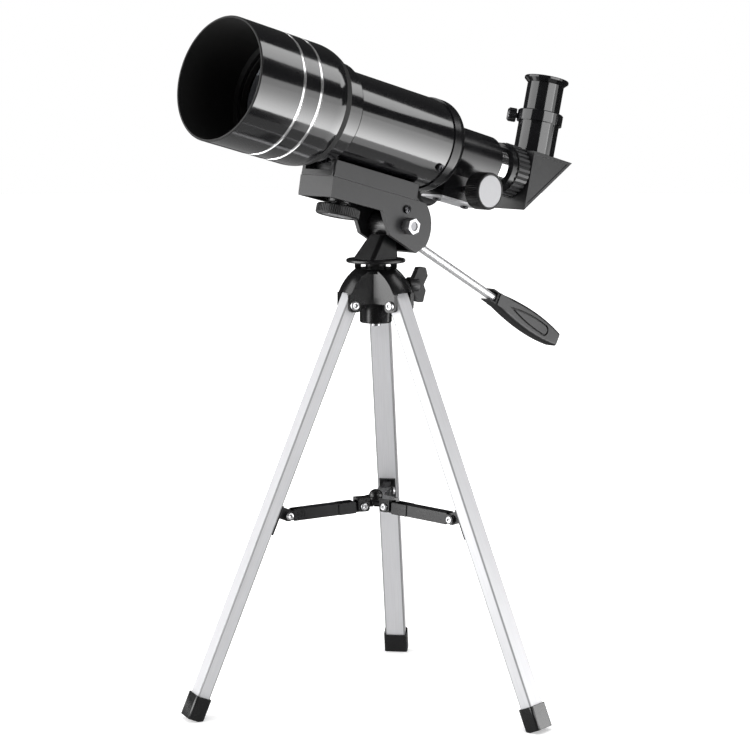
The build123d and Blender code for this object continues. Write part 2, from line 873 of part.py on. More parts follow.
# Tilt platform: hollow tray with two cheeks and a curved rear wall that takes the handle
cheek_inner = platform_half_width - platform_wall
cheek_top_station = tilt_station - sqrt(cheek_radius**2 - (platform_top - tilt_lift) ** 2)
wall_radius = cheek_radius - platform_wall
tray_ceiling = platform_top - 4
wall_top_station = tilt_station - sqrt(wall_radius**2 - (tray_ceiling - tilt_lift) ** 2)
wall_end = (tilt_lift - wall_drop, tilt_station - sqrt(wall_radius**2 - wall_drop**2))
handle_slope = radians(handle_drop)
handle_out = -optical * cos(handle_slope) - lift * sin(handle_slope)
handle_root = tube_point(*handle_start)
with BuildPart() as tilt_platform:
    with BuildSketch(tube_side):
        with BuildLine():
            Polyline(
                (platform_top, cheek_top_station),
                (platform_top, platform_front),
                (platform_bottom, platform_front - 1),
                (platform_bottom + 0.6, cheek_throat),
                cheek_knee,
                cheek_tip,
                cheek_heel,
            )
            ThreePointArc(
                cheek_heel,
                (tilt_lift, tilt_station - cheek_radius),
                (platform_top, cheek_top_station),
            )
        make_face()
    extrude(amount=platform_half_width, both=True)
    with BuildSketch(tube_side):
        with BuildLine():
            Polyline(
                (tray_ceiling, wall_top_station),
                (tray_ceiling, platform_front - platform_wall),
                (2 * platform_bottom, platform_front - platform_wall),
                (2 * platform_bottom, tilt_station),
                (cheek_tip[0] - throat_clear, cheek_tip[1] + 2 * throat_clear),
                wall_end,
            )
            ThreePointArc(
                wall_end,
                (tilt_lift, tilt_station - wall_radius),
                (tray_ceiling, wall_top_station),
            )
        make_face()
    extrude(amount=cheek_inner, both=True, mode=Mode.SUBTRACT)
    with BuildSketch(above_tube(platform_bottom, clamp_station)):
        Circle(boss_radius)
    extrude(amount=tray_ceiling - platform_bottom + 1)
    with BuildSketch(above_tube(platform_top + 1, clamp_station)):
        Circle(clamp_radius + running_gap)
    extrude(amount=platform_bottom - platform_top - 2, mode=Mode.SUBTRACT)
    with BuildSketch(tube_side):
        with Locations((tilt_lift, tilt_station)):
            Circle(bolt_radius + 0.02)
        with Locations((cheek_screw_lift, cheek_screw_station)):
            Circle(screw_hole)
    extrude(amount=platform_half_width + 1, both=True, mode=Mode.SUBTRACT)
    with BuildSketch(Plane(origin=handle_root, x_dir=(1, 0, 0), z_dir=handle_out)):
        Circle(handle_radius + running_gap)
    extrude(amount=4 * handle_radius, both=True, mode=Mode.SUBTRACT)
save(tilt_platform, "tilt_platform")

# Tilt bolt with a round head on the far cheek, and its hex nut on the near cheek
bolt_end = platform_half_width + nut_thickness - 0.6
tilt_point = tube_point(tilt_lift, tilt_station)
bolt_plane = Plane(origin=tilt_point, x_dir=lift, z_dir=(1, 0, 0))
with BuildPart() as tilt_bolt:
    with BuildSketch(bolt_plane.offset(-platform_half_width - 1)):
        Circle(bolt_radius)
    extrude(amount=platform_half_width + 1 + bolt_end)
    with BuildSketch(bolt_plane.offset(-platform_half_width - seat_gap)):
        Circle(6)
    extrude(amount=-3.2)
    fillet(edges().filter_by(GeomType.CIRCLE).sort_by(Axis.X)[0], 1.6)
save(tilt_bolt, "tilt_bolt")

with BuildPart() as tilt_nut:
    with BuildSketch(bolt_plane.offset(platform_half_width + seat_gap)):
        RegularPolygon(nut_flats / 2, 6, major_radius=False)
        Circle(bolt_radius + 0.02, mode=Mode.SUBTRACT)
    extrude(amount=nut_thickness)
save(tilt_nut, "tilt_nut")

# Clamp wheel on its screw, which runs up through the platform into the shoe insert
wheel_face_radius = 11.0
with BuildPart() as clamp_wheel:
    with BuildSketch(above_tube(wheel_bottom, clamp_station)):
        Circle(wheel_radius)
    extrude(amount=wheel_top - wheel_bottom)
    chamfer(edges().filter_by(GeomType.CIRCLE), 0.6)
    with BuildSketch(above_tube(wheel_top, clamp_station)):
        Circle(6)
    extrude(amount=platform_bottom - sliding_gap - wheel_top)
    with BuildSketch(above_tube(wheel_bottom, clamp_station)):
        Circle(wheel_face_radius + 0.05)
    extrude(amount=1.2, mode=Mode.SUBTRACT)
    with BuildSketch(above_tube(wheel_bottom, clamp_station)):
        Circle(clamp_radius + 0.02)
    extrude(amount=platform_bottom - wheel_bottom, mode=Mode.SUBTRACT)
save(clamp_wheel, "clamp_wheel")

clamp_top = insert_top - 1.5
with BuildPart() as clamp_screw:
    with BuildSketch(above_tube(wheel_bottom + 0.4, clamp_station)):
        Circle(wheel_face_radius)
    extrude(amount=0.7)
    with BuildSketch(above_tube(wheel_bottom + 0.4, clamp_station)):
        Rectangle(1.8, 2 * wheel_face_radius - 6)
    extrude(amount=0.5, mode=Mode.SUBTRACT)
    with BuildSketch(above_tube(wheel_bottom + 1, clamp_station)):
        Circle(clamp_radius)
    extrude(amount=clamp_top - wheel_bottom - 1)
save(clamp_screw, "clamp_screw")

# Pan handle: steel rod screwed into the rear wall, with a flat bellied grip, forked at its front
rod_tip = 8.0
grip_start = 86.8


def along_handle(distance):
    """The plane square to the handle at this distance from the platform wall."""
    return Plane(origin=handle_root + handle_out * distance, x_dir=(1, 0, 0), z_dir=handle_out)


with BuildPart() as handle_rod:
    with BuildSketch(along_handle(-rod_tip)):
        Circle(handle_radius)
    extrude(amount=rod_tip + grip_start + grip_inset)
save(handle_rod, "handle_rod")

handle_side = Plane(origin=handle_root + handle_out * grip_start, x_dir=handle_out, z_dir=(1, 0, 0))
with BuildPart() as handle_grip:
    with BuildSketch(handle_side):
        with BuildLine():
            for side in (1, -1):
                Line((0, 0), (0, side * grip_front))
                Line((0, side * grip_front), (grip_shoulder, side * grip_front))
                Spline(
                    (grip_shoulder, side * grip_front),
                    (0.4 * grip_length, side * (grip_belly - 0.6)),
                    (0.62 * grip_length, side * grip_belly),
                    (0.83 * grip_length, side * (grip_belly - 0.9)),
                    (grip_length, side * grip_end),
                )
                Line((grip_length, side * grip_end), (grip_length, 0))
        make_face()
    extrude(amount=grip_thickness / 2, both=True)
    fillet(edges().filter_by(GeomType.BSPLINE), 2)
    fillet(edges().filter_by(Axis.X).sort_by(Axis(handle_root, handle_out))[-2:], grip_corner)
    with BuildSketch(handle_side):
        Rectangle(2 * grip_slot, 2 * (handle_radius + 0.5))
    extrude(amount=grip_thickness, both=True, mode=Mode.SUBTRACT)
    with BuildSketch(along_handle(grip_start - 1)):
        Circle(handle_radius + 0.02)
    extrude(amount=grip_inset + 1 + seat_gap, mode=Mode.SUBTRACT)
    for side in (1, -1):
        with BuildSketch(handle_side.offset(side * grip_thickness / 2)):
            with BuildLine():
                ThreePointArc(
                    (recess_start, 0),
                    (recess_middle, recess_swell),
                    (recess_end - recess_round, recess_round),
                )
                ThreePointArc(
                    (recess_end - recess_round, recess_round),
                    (recess_end, 0),
                    (recess_end - recess_round, -recess_round),
                )
                ThreePointArc(
                    (recess_end - recess_round, -recess_round),
                    (recess_middle, -recess_swell),
                    (recess_start, 0),
                )
            make_face()
            offset(amount=-recess_groove, mode=Mode.SUBTRACT)
        extrude(amount=-side * recess_depth, mode=Mode.SUBTRACT)
        with BuildSketch(handle_side.offset(side * grip_thickness / 2)):
            Rectangle(2 * grip_shoulder, 2 * grip_belly)
        extrude(amount=-side * fork_step, mode=Mode.SUBTRACT)
save(handle_grip, "handle_grip")

# Pan base: round flange, neck drawn in to a waist, round head for the tilt bolt, spindle and lugs
flange_top = pan_flange_bottom + pan_flange_thickness
neck_waist = tilt_point.Z - neck_waist_drop
spindle_bottom = sleeve_bottom + sleeve_floor
lug_turn = 47.0
with BuildPart() as pan_base:
    with BuildSketch(Plane.XY.offset(pan_flange_bottom)):
        Circle(pan_flange_radius)
    extrude(amount=pan_flange_thickness)
    chamfer(edges().filter_by(GeomType.CIRCLE), 0.6)
    with BuildSketch(Plane.XY.offset(flange_top - 0.5)):
        with Locations((0, neck_foot_set)):
            RectangleRounded(neck_foot_width, neck_foot_depth, neck_round)
    with BuildSketch(Plane.XY.offset(neck_waist)):
        with Locations((0, tilt_point.Y + neck_waist_set)):
            RectangleRounded(neck_waist_width, neck_waist_depth, neck_round)
    loft()
    with BuildSketch(bolt_plane):
        Circle(neck_head_radius)
    extrude(amount=neck_half_width, both=True)
    with BuildSketch(bolt_plane):
        Circle(bolt_radius + running_gap)
    extrude(amount=neck_half_width + 1, both=True, mode=Mode.SUBTRACT)
    with BuildSketch(Plane.XY.offset(crown_top + seat_gap)):
        Circle(spindle_radius + 2.5)
        with PolarLocations(lug_radius, 4, start_angle=lug_turn):
            Rectangle(lug_size, lug_size)
    extrude(amount=pan_flange_bottom - crown_top + 0.5)
    with BuildSketch(Plane.XY.offset(spindle_bottom)):
        Circle(spindle_radius)
    extrude(amount=pan_flange_bottom - spindle_bottom)
    with BuildSketch(Plane.XY.offset(spindle_bottom)):
        Circle(end_screw_radius + 0.02)
    extrude(amount=end_screw_depth, mode=Mode.SUBTRACT)
save(pan_base, "pan_base")

with BuildPart() as spindle_screw:
    with BuildSketch(Plane.XY.offset(sleeve_bottom - sliding_gap)):
        Circle(3.2)
    extrude(amount=-2)
    with BuildSketch(Plane.XY.offset(sleeve_bottom - 1)):
        Circle(end_screw_radius)
    extrude(amount=sleeve_floor + end_screw_depth)
save(spindle_screw, "spindle_screw")

# Reference frames of the legs
leg_turns = [first_leg_angle + 360 / leg_count * number for number in range(leg_count)]
lean = radians(leg_lean)
up = Vector(0, 0, 1)


def leg_out(turn):
    """The level direction from the pan axis toward one foot."""
    return Vector(sin(radians(turn)), -cos(radians(turn)), 0)


def radial_plane(turn):
    """The upright plane of one leg, in radius and height."""
    return Plane(origin=(0, 0, 0), x_dir=leg_out(turn), z_dir=leg_out(turn).cross(up))


def leg_place(turn, radius, height):
    """A point in the upright plane of one leg."""
    return leg_out(turn) * radius + up * height


def leg_inward(turn):
    """The direction square to one leg, toward the middle of the tripod."""
    return -leg_out(turn) * cos(lean) - up * sin(lean)


def leg_side(turn):
    """The side of one leg from its pivot: x is inward, y runs up the leg."""
    return Plane(
        origin=leg_place(turn, pivot_radius, pivot_height),
        x_dir=leg_inward(turn),
        z_dir=up.cross(leg_out(turn)),
    )


def leg_section(turn, distance):
    """The plane square to one leg at a distance up from its pivot: y is inward."""
    along = up * cos(lean) - leg_out(turn) * sin(lean)
    return Plane(
        origin=leg_place(turn, pivot_radius, pivot_height) + along * distance,
        x_dir=up.cross(leg_out(turn)),
        z_dir=along,
    )


# Tripod crown: three leg housings cut from one dome under a collar. Their side walls meet in a
# valley between the legs and run down into a pair of ears for each leg.
polar_start = first_leg_angle - 90
ear_gap = leg_width / 2 + sliding_gap
ear_face = ear_gap + ear_thickness
valley = ear_face / tan(radians(180 / leg_count))
lock_turn = first_leg_angle + 180
lock_out = leg_out(lock_turn)
lock_plane = Plane(origin=(0, 0, lock_height), x_dir=up, z_dir=lock_out)
with BuildPart() as tripod_crown:
    with BuildSketch(Plane.XY.offset(crown_bottom)):
        Circle(crown_core_radius)
        with PolarLocations(crown_radius / 2, leg_count, start_angle=polar_start):
            Rectangle(crown_radius + 2, 2 * ear_face)
    extrude(amount=crown_top - crown_bottom)
    with BuildSketch(Plane.XY.offset(crown_top - crown_collar)):
        Circle(crown_rim_radius)
    extrude(amount=crown_collar)
    with BuildSketch(Plane.XZ):
        with BuildLine():
            Polyline(
                (crown_rim_radius, crown_top - crown_rim),
                (crown_rim_radius - crown_rim, crown_top),
                (0, crown_top),
                (0, crown_bottom),
                (crown_radius, crown_bottom),
            )
            ThreePointArc(
                (crown_radius, crown_bottom),
                (crown_bulge[0], crown_bottom + crown_bulge[1]),
                (crown_rim_radius, crown_top - crown_rim),
            )
        make_face()
    revolve(axis=Axis.Z, mode=Mode.INTERSECT)
    with BuildSketch(Plane.XY.offset(sleeve_top)):
        Circle(skirt_radius)
    extrude(amount=crown_bottom - sleeve_top + 1)
    with BuildSketch(lock_plane):
        Circle(lock_boss_radius)
    extrude(amount=lock_boss_end)
    with BuildSketch(Plane.XY.offset(crown_bottom)):
        with PolarLocations(crown_radius, leg_count, start_angle=polar_start):
            Rectangle(2 * (crown_radius - skirt_radius - 0.4), 2 * ear_gap)
    extrude(amount=slot_top - crown_bottom, mode=Mode.SUBTRACT)
    for turn in leg_turns:
        for side in (1, -1):
            with BuildSketch(radial_plane(turn).offset(side * ear_gap)):
                with Locations(((ear_inner + ear_outer) / 2, (ear_bottom + crown_bottom) / 2 + 0.3)):
                    Rectangle(ear_outer - ear_inner, crown_bottom - ear_bottom + 0.6)
                fillet(vertices().group_by(Axis.Y)[0], 2.5)
                with Locations(((valley + ear_inner) / 2, (sleeve_top + crown_bottom) / 2 + 0.3)):
                    Rectangle(ear_inner - valley + 0.4, crown_bottom - sleeve_top + 0.6)
            extrude(amount=side * ear_thickness)
        with BuildSketch(radial_plane(turn)):
            with Locations((pivot_radius, pivot_height)):
                Circle(pin_radius + 0.02)
        extrude(amount=ear_face + 1, both=True, mode=Mode.SUBTRACT)
    with BuildSketch(Plane.XY.offset(sleeve_top - 1)):
        Circle(spindle_radius + running_gap)
    extrude(amount=crown_top - sleeve_top + 2, mode=Mode.SUBTRACT)
    with BuildSketch(lock_plane):
        Circle(lock_screw_radius + running_gap)
    extrude(amount=lock_boss_end + 1, mode=Mode.SUBTRACT)
save(tripod_crown, "tripod_crown")

with BuildPart() as centre_sleeve:
    with BuildSketch(Plane.XY.offset(sleeve_bottom)):
        Circle(sleeve_radius)
    extrude(amount=sleeve_top - seat_gap - sleeve_bottom)
    with BuildSketch(Plane.XY.offset(spindle_bottom - sliding_gap)):
        Circle(spindle_radius + running_gap)
    extrude(amount=sleeve_top, mode=Mode.SUBTRACT)
    with BuildSketch(Plane.XY.offset(sleeve_bottom - 1)):
        Circle(end_screw_radius + running_gap)
    extrude(amount=sleeve_floor + 1, mode=Mode.SUBTRACT)
    chamfer(edges().filter_by(GeomType.CIRCLE).group_by(Axis.Z)[0].sort_by(SortBy.RADIUS)[-1], 0.8)
save(centre_sleeve, "centre_sleeve")

# Pan lock: wing knob moulded on a steel screw
lock_side = Plane(origin=(0, 0, lock_height), x_dir=lock_out, z_dir=lock_out.cross(up))
wing_middle = (wing_start + wing_end) / 2
with BuildPart() as wing_knob:
    with BuildSketch(lock_plane.offset(wing_start)):
        Circle(lock_boss_radius)
    extrude(amount=wing_middle - wing_start)
    with BuildSketch(lock_side):
        with BuildLine():
            Polyline(
                (wing_start + 3, -4),
                (wing_middle - 1, -wing_half_height),
                (wing_end - 3.5, -wing_half_height),
                (wing_end - 1.5, -4),
                (wing_end - 3, 0),
                (wing_end, 6),
                (wing_end - 1.5, wing_half_height),
                (wing_middle, wing_half_height),
                (wing_start + 3, 4),
                close=True,
            )
        make_face()
        fillet(vertices(), 1.2)
    extrude(amount=wing_thickness / 2, both=True)
    with BuildSketch(lock_plane):
        Circle(lock_screw_radius + 0.02)
    extrude(amount=wing_middle - 2, mode=Mode.SUBTRACT)
save(wing_knob, "wing_knob")

with BuildPart() as lock_screw:
    with BuildSketch(lock_plane.offset(spindle_radius + sliding_gap)):
        Circle(lock_screw_radius)
    extrude(amount=wing_middle - 2 - seat_gap - spindle_radius - sliding_gap)
save(lock_screw, "lock_screw")

# Rivets in the crown ears
with BuildPart() as leg_pins:
    for turn in leg_turns:
        with BuildSketch(radial_plane(turn)):
            with Locations((pivot_radius, pivot_height)):
                Circle(pin_radius)
        extrude(amount=ear_face + seat_gap, both=True)
        for side in (1, -1):
            with BuildSketch(radial_plane(turn).offset(side * (ear_face + seat_gap))):
                with Locations((pivot_radius, pivot_height)):
                    Circle(1.5 * pin_radius)
            extrude(amount=side * pin_radius / 2)
save(leg_pins, "leg_pins")

# Legs, foot caps, leg brackets and spreader arms
leg_reach = pivot_height / cos(lean)
foot_end = -leg_reach + 0.8
foot_wall = 4
pin_drop = pivot_height - bracket_height
pin_throw = (pin_drop * sin(lean) - bracket_standoff) / cos(lean)
bracket_radius = pivot_radius + pin_throw
bracket_along = -pin_throw * sin(lean) - pin_drop * cos(lean)
arm_rise = atan2(hub_rise, bracket_radius - hub_pin_radius)
channel_half = tongue_width / 2 + sliding_gap
channel_face = channel_half + channel_wall
channel_length = hypot(hub_rise, bracket_radius - hub_pin_radius) - hub_clear
web_start = 7.0
tongue_top = channel_height / 2 - channel_web - fold_play
for number, turn in enumerate(leg_turns, start=1):
    with BuildPart() as leg:
        with BuildSketch(leg_section(turn, leg_head)):
            RectangleRounded(leg_width, leg_depth, 1.2)
        extrude(amount=foot_end + foot_wall - leg_head)
        with BuildSketch(leg_section(turn, leg_head)):
            Rectangle(leg_width - 2 * leg_wall, leg_depth - 2 * leg_wall)
        extrude(amount=foot_end + foot_wall - leg_head, mode=Mode.SUBTRACT)
        with BuildSketch(leg_side(turn)):
            Circle(pin_radius + running_gap)
        extrude(amount=leg_width, both=True, mode=Mode.SUBTRACT)
    save(leg, f"leg_{number}")

    with BuildPart() as foot:
        with BuildSketch(leg_section(turn, foot_end)):
            RectangleRounded(foot_width, foot_depth, 2)
        extrude(amount=foot_height)
        with BuildSketch(leg_section(turn, foot_end + foot_wall - seat_gap)):
            Rectangle(leg_width + 0.1, leg_depth + 0.1)
        extrude(amount=foot_height, mode=Mode.SUBTRACT)
        split(bisect_by=Plane.XY, keep=Keep.TOP)
    save(foot, f"foot_{number}")

    with BuildPart() as bracket:
        with BuildSketch(leg_section(turn, bracket_along - strip_below)):
            with Locations((0, leg_depth / 2 + strip_thickness / 2 + 0.05)):
                RectangleRounded(leg_width - 3, strip_thickness, 0.5)
        extrude(amount=strip_below + strip_above)
        with BuildSketch(leg_side(turn)):
            with Locations((bracket_standoff, bracket_along)):
                Circle(lug_eye)
            with Locations(((leg_depth / 2 + bracket_standoff) / 2 + 0.5, bracket_along)):
                Rectangle(bracket_standoff - leg_depth / 2 - 1, 2 * lug_eye)
        extrude(amount=tongue_width / 2, both=True)
        with BuildSketch(leg_side(turn)):
            with Locations((bracket_standoff, bracket_along)):
                Circle(rivet_radius)
        extrude(amount=channel_face + 0.6, both=True)
        for side in (1, -1):
            with BuildSketch(leg_side(turn).offset(side * (channel_face + sliding_gap))):
                with Locations((bracket_standoff, bracket_along)):
                    Circle(rivet_head)
            extrude(amount=side * channel_web)
    save(bracket, f"leg_bracket_{number}")

    arm_in = -leg_out(turn) * cos(arm_rise) + up * sin(arm_rise)
    arm_plane = Plane(
        origin=leg_place(turn, bracket_radius, bracket_height), x_dir=arm_in, z_dir=up.cross(leg_out(turn))
    )
    with BuildPart() as channel:
        with BuildSketch(arm_plane):
            Circle(channel_eye)
            with Locations((channel_eye / 2, 0)):
                Rectangle(channel_eye, 2 * channel_eye)
            with Locations(((channel_eye + channel_length) / 2, 0)):
                Rectangle(channel_length - channel_eye, channel_height)
        extrude(amount=channel_face, both=True)
        with BuildSketch(arm_plane):
            with Locations((channel_length / 2, -channel_web)):
                Rectangle(2 * channel_length, channel_height)
            with Locations((web_start - channel_length / 2, 0)):
                Rectangle(channel_length, 2 * channel_height)
        extrude(amount=channel_half, both=True, mode=Mode.SUBTRACT)
        with BuildSketch(arm_plane):
            Circle(rivet_radius + running_gap)
        extrude(amount=channel_face + 1, both=True, mode=Mode.SUBTRACT)
    save(channel, f"spreader_arm_{number}")

    tongue_plane = Plane(
        origin=leg_place(turn, hub_pin_radius, hub_pin_height), x_dir=-arm_in, z_dir=leg_out(turn).cross(up)
    )
    with BuildPart() as tongue:
        with BuildSketch(tongue_plane):
            Circle(tongue_height / 2)
            with Locations((tongue_length / 2, tongue_top - tongue_height / 2)):
                Rectangle(tongue_length, tongue_height)
            Circle(rivet_radius + running_gap, mode=Mode.SUBTRACT)
        extrude(amount=tongue_width / 2, both=True)
    save(tongue, f"arm_tongue_{number}")

# Spreader hub: three box arms round a boss, each with a pair of cheeks, and a domed knob on top
hub_cheek = tongue_width / 2 + sliding_gap
hub_cheek_face = hub_cheek + 2
hub_cheek_inner = 6.6
hub_cheek_bottom = hub_pin_height - 3.6
with BuildPart() as spreader_hub:
    with BuildSketch(Plane.XY.offset(hub_plate_bottom)):
        Circle(hub_boss_radius)
        with PolarLocations(hub_reach / 2, leg_count, start_angle=polar_start):
            Rectangle(hub_reach, 2 * hub_cheek_face)
    extrude(amount=hub_plate)
    for turn in leg_turns:
        for side in (1, -1):
            with BuildSketch(radial_plane(turn).offset(side * hub_cheek)):
                with Locations(
                    ((hub_cheek_inner + hub_reach) / 2, (hub_cheek_bottom + hub_plate_bottom) / 2 + 0.3)
                ):
                    Rectangle(hub_reach - hub_cheek_inner, hub_plate_bottom - hub_cheek_bottom + 0.6)
                fillet(vertices().group_by(Axis.Y)[0], 2)
            extrude(amount=side * (hub_cheek_face - hub_cheek))
        with BuildSketch(radial_plane(turn)):
            with Locations((hub_pin_radius, hub_pin_height)):
                Circle(rivet_radius + 0.02)
        extrude(amount=hub_cheek_face + 1, both=True, mode=Mode.SUBTRACT)
    with BuildSketch(Plane.XZ):
        with BuildLine():
            Polyline(
                (0, hub_plate_top + hub_knob),
                (0, hub_plate_bottom),
                (hub_knob_radius, hub_plate_bottom),
                (hub_knob_radius, hub_plate_top + hub_knob / 3),
            )
            TangentArc(
                (0, hub_plate_top + hub_knob),
                (hub_knob_radius, hub_plate_top + hub_knob / 3),
                tangent=(1, 0),
            )
        make_face()
    revolve(axis=Axis.Z)
save(spreader_hub, "spreader_hub")

with BuildPart() as hub_pins:
    for turn in leg_turns:
        with BuildSketch(radial_plane(turn)):
            with Locations((hub_pin_radius, hub_pin_height)):
                Circle(rivet_radius)
        extrude(amount=hub_cheek_face + 0.5, both=True)
        for side in (1, -1):
            with BuildSketch(radial_plane(turn).offset(side * (hub_cheek_face + 0.05))):
                with Locations((hub_pin_radius, hub_pin_height)):
                    Circle(rivet_head)
            extrude(amount=side * channel_web)
save(hub_pins, "hub_pins")
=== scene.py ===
"""Looks of a small refractor telescope on its folding table tripod."""
import json
import math

import bmesh
import bpy
from bpy.props import FloatProperty, FloatVectorProperty, PointerProperty
from mathutils import Matrix, Vector


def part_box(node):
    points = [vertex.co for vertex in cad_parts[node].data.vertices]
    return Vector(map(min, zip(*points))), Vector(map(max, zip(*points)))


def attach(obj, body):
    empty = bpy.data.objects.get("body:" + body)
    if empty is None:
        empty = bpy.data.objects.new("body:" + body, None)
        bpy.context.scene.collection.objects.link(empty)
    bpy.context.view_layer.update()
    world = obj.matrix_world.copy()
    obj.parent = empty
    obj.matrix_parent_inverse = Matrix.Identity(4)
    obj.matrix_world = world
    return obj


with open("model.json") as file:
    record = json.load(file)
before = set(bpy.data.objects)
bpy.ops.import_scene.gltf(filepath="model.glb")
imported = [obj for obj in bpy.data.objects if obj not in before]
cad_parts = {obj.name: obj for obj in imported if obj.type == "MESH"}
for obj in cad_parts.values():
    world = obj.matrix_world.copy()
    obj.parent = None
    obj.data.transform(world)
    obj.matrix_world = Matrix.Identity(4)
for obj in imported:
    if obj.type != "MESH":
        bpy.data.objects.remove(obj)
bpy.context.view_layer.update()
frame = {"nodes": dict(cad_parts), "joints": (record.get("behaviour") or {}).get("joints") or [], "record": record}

bl_info = {
    "name": "Table Telescope",
    "version": (1, 0, 0),
    "blender": (4, 5, 0),
    "location": "View3D > Sidebar > Telescope",
    "description": "Dresses the telescope, its head and its tripod, and sets the studio",
    "category": "Object",
}

joints = {joint["name"]: joint for joint in frame["joints"]}


def joint_point(name):
    """The place of a hinge in the rest pose."""
    return Vector(joints[name]["pos_m"])


def joint_axis(name):
    """The direction of a joint in the rest pose."""
    return Vector(joints[name]["axis"]).normalized()


def corners_of(node):
    """The corner points of a CAD piece."""
    return [vertex.co for vertex in frame["nodes"][node].data.vertices]


def axis_split(place, point, axis):
    """How far a place lies from an axis through a point, and along it."""
    arm = place - point
    along = arm.dot(axis)
    return (arm - axis * along).length, along


up = Vector((0, 0, 1))
across = Vector((1, 0, 0))
optical = -joint_axis("focus_slide")
lift = joint_axis("clamp_wheel_turn")
tube_rear = joint_point("diagonal_turn")
# Here the axis of the tube passes over the middle of the tripod.
tube_middle = tube_rear - optical * (tube_rear.y / optical.y)
leg_numbers = ("1", "2", "3")


def colour(name, description, default):
    """A colour that a user would change."""
    return FloatVectorProperty(
        name=name, description=description, subtype="COLOR", size=3, min=0.0, max=1.0, default=default
    )


def share(name, description, default):
    """A value from none to full."""
    return FloatProperty(
        name=name, description=description, subtype="FACTOR", min=0.0, max=1.0, default=default
    )


def length(name, description, default):
    """A length in metres."""
    return FloatProperty(
        name=name, description=description, unit="LENGTH", subtype="DISTANCE", default=default
    )


def angle(name, description, degrees):
    """An angle, given in degrees."""
    return FloatProperty(name=name, description=description, subtype="ANGLE", default=math.radians(degrees))


def power(name, description, default):
    """The power of a lamp in watts."""
    return FloatProperty(name=name, description=description, subtype="POWER", default=default)


def level(name, description, default):
    """How bright a sheet glows, where one is white."""
    return FloatProperty(name=name, description=description, min=0.0, default=default)


class TubeLook(bpy.types.PropertyGroup):
    """Paint, bright rings and glass of the optical tube."""

    paint: colour("Paint", "Gloss paint of the tube and the dew shield", (0.006, 0.006, 0.007))
    paint_roughness: share("Paint roughness", "How soft the reflections on the paint are", 0.13)
    coat: share("Coat", "Clear coat over the paint", 0.8)
    dust: colour("Dust", "Specks of dust on the paint", (0.09, 0.09, 0.09))
    inside: colour("Inside", "Matt black inside the dew shield", (0.004, 0.004, 0.004))
    bore: length("Bore", "Radius inside which the tube is matt", 0.0309)
    shield_bore: length("Shield bore", "Radius inside which the dew shield is matt", 0.0402)
    shield_edge: length("Shield edge", "Matt front edge of the dew shield, measured as the rings", 0.1402)
    ring: colour("Rings", "Bright rings cut in the dew shield", (0.86, 0.86, 0.86))
    ring_front: length("Front ring", "Front ring from the middle of the tube", 0.104)
    ring_rear: length("Rear ring", "Rear ring from the middle of the tube", 0.089)
    ring_width: length("Ring width", "Width of each bright ring", 0.0023)
    objective: colour("Objective", "Tint of the coated lenses in front", (0.30, 0.31, 0.33))
    eye_glass: colour("Eye glass", "Tint of the eyepiece lenses and the prism", (0.9, 0.94, 0.98))


class MouldedLook(bpy.types.PropertyGroup):
    """Moulded plastic and rubber."""

    grey: colour("Grey", "Grey plastic of the shoe and the platform", (0.015, 0.015, 0.0162))
    dark: colour("Dark grey", "Plastic of the diagonal, the grip and the arms", (0.012, 0.012, 0.013))
    black: colour("Black", "Satin black plastic of the head and the tripod's top", (0.006, 0.006, 0.0065))
    gloss: colour("Gloss black", "Plastic of the focuser and the eyepiece", (0.008, 0.008, 0.009))
    # The rib colour is a painted highlight on the tops of the clamp ring's ribs.
    rib_top_highlight: colour("Rib", "Worn tops of the ribs of the clamp ring", (0.05, 0.05, 0.052))
    rubber: colour("Foot", "Rubber of the foot caps", (0.009, 0.009, 0.0095))
    grain: length("Grain", "Size of the moulded grain", 0.0006)
    # The dark fork of the grip is painted shade.
    grip_fork_shade: length("Grip fork", "Length of the dark fork where the rod meets the grip", 0.0075)
    wide_round: length("Wide round", "Round on the edges of the larger mouldings", 0.0005)
    cap_round: length("Cap round", "Round on the edges of the foot caps and the arms", 0.0004)
    fine_round: length("Fine round", "Round on the edges of the nut, the discs and the hub", 0.0003)


class MetalLook(bpy.types.PropertyGroup):
    """Bare and plated metal, and the sizes of rivets, screw heads and arm cheeks."""

    leg: colour("Leg", "Anodised aluminium of the legs", (0.76, 0.76, 0.78))
    # The corner line of the legs is painted shade: darker colour along their rounded corners.
    leg_corner_shade: length("Leg corner", "Width of the dull line along the corners of the legs", 0.0015)
    plate: colour("Plate", "Light metal of the knob discs and the pinion cover", (0.58, 0.58, 0.595))
    chrome: colour("Chrome", "Plating of the drawtube, the rod and the rivets", (0.83, 0.83, 0.84))
    steel: colour("Steel", "Bare steel of the nut, the pinion and the clamp screws", (0.62, 0.62, 0.63))
    dark_steel: colour("Dark screws", "Blackened screws", (0.045, 0.045, 0.048))
    thumbscrew: colour("Thumbscrew", "Dark plating of the thumbscrew", (0.11, 0.11, 0.115))
    bolt: colour("Bolt", "Duller steel of the tilt bolt", (0.25, 0.25, 0.26))
    brass: colour("Brass", "Brass of the threaded insert", (0.62, 0.43, 0.14))
    leg_rivet: length("Leg rivet", "Radius of the rivet heads at the tripod's top", 0.003)
    arm_rivet: length("Arm rivet", "Radius of the rivet heads on the spreader", 0.0025)
    screw_radius: length("Screw radius", "Radius of the small screws' heads", 0.00285)
    screw_dome: length("Screw dome", "Rise of the small screws' heads", 0.0007)
    screw_recess: length("Screw recess", "Depth of the cross recess in the heads", 0.0009)
    cheek_start: length("Cheek start", "Where the cheeks of the arms start, from the hub pin", 0.0058)
    cheek_lap: length("Cheek lap", "How far the cheeks lap over the end of the arm", 0.0008)
    cheek_gap: length("Cheek gap", "Space between the cheeks and the arm", 0.00012)
    cheek_wall: length("Cheek wall", "Thickness of the cheeks", 0.0006)


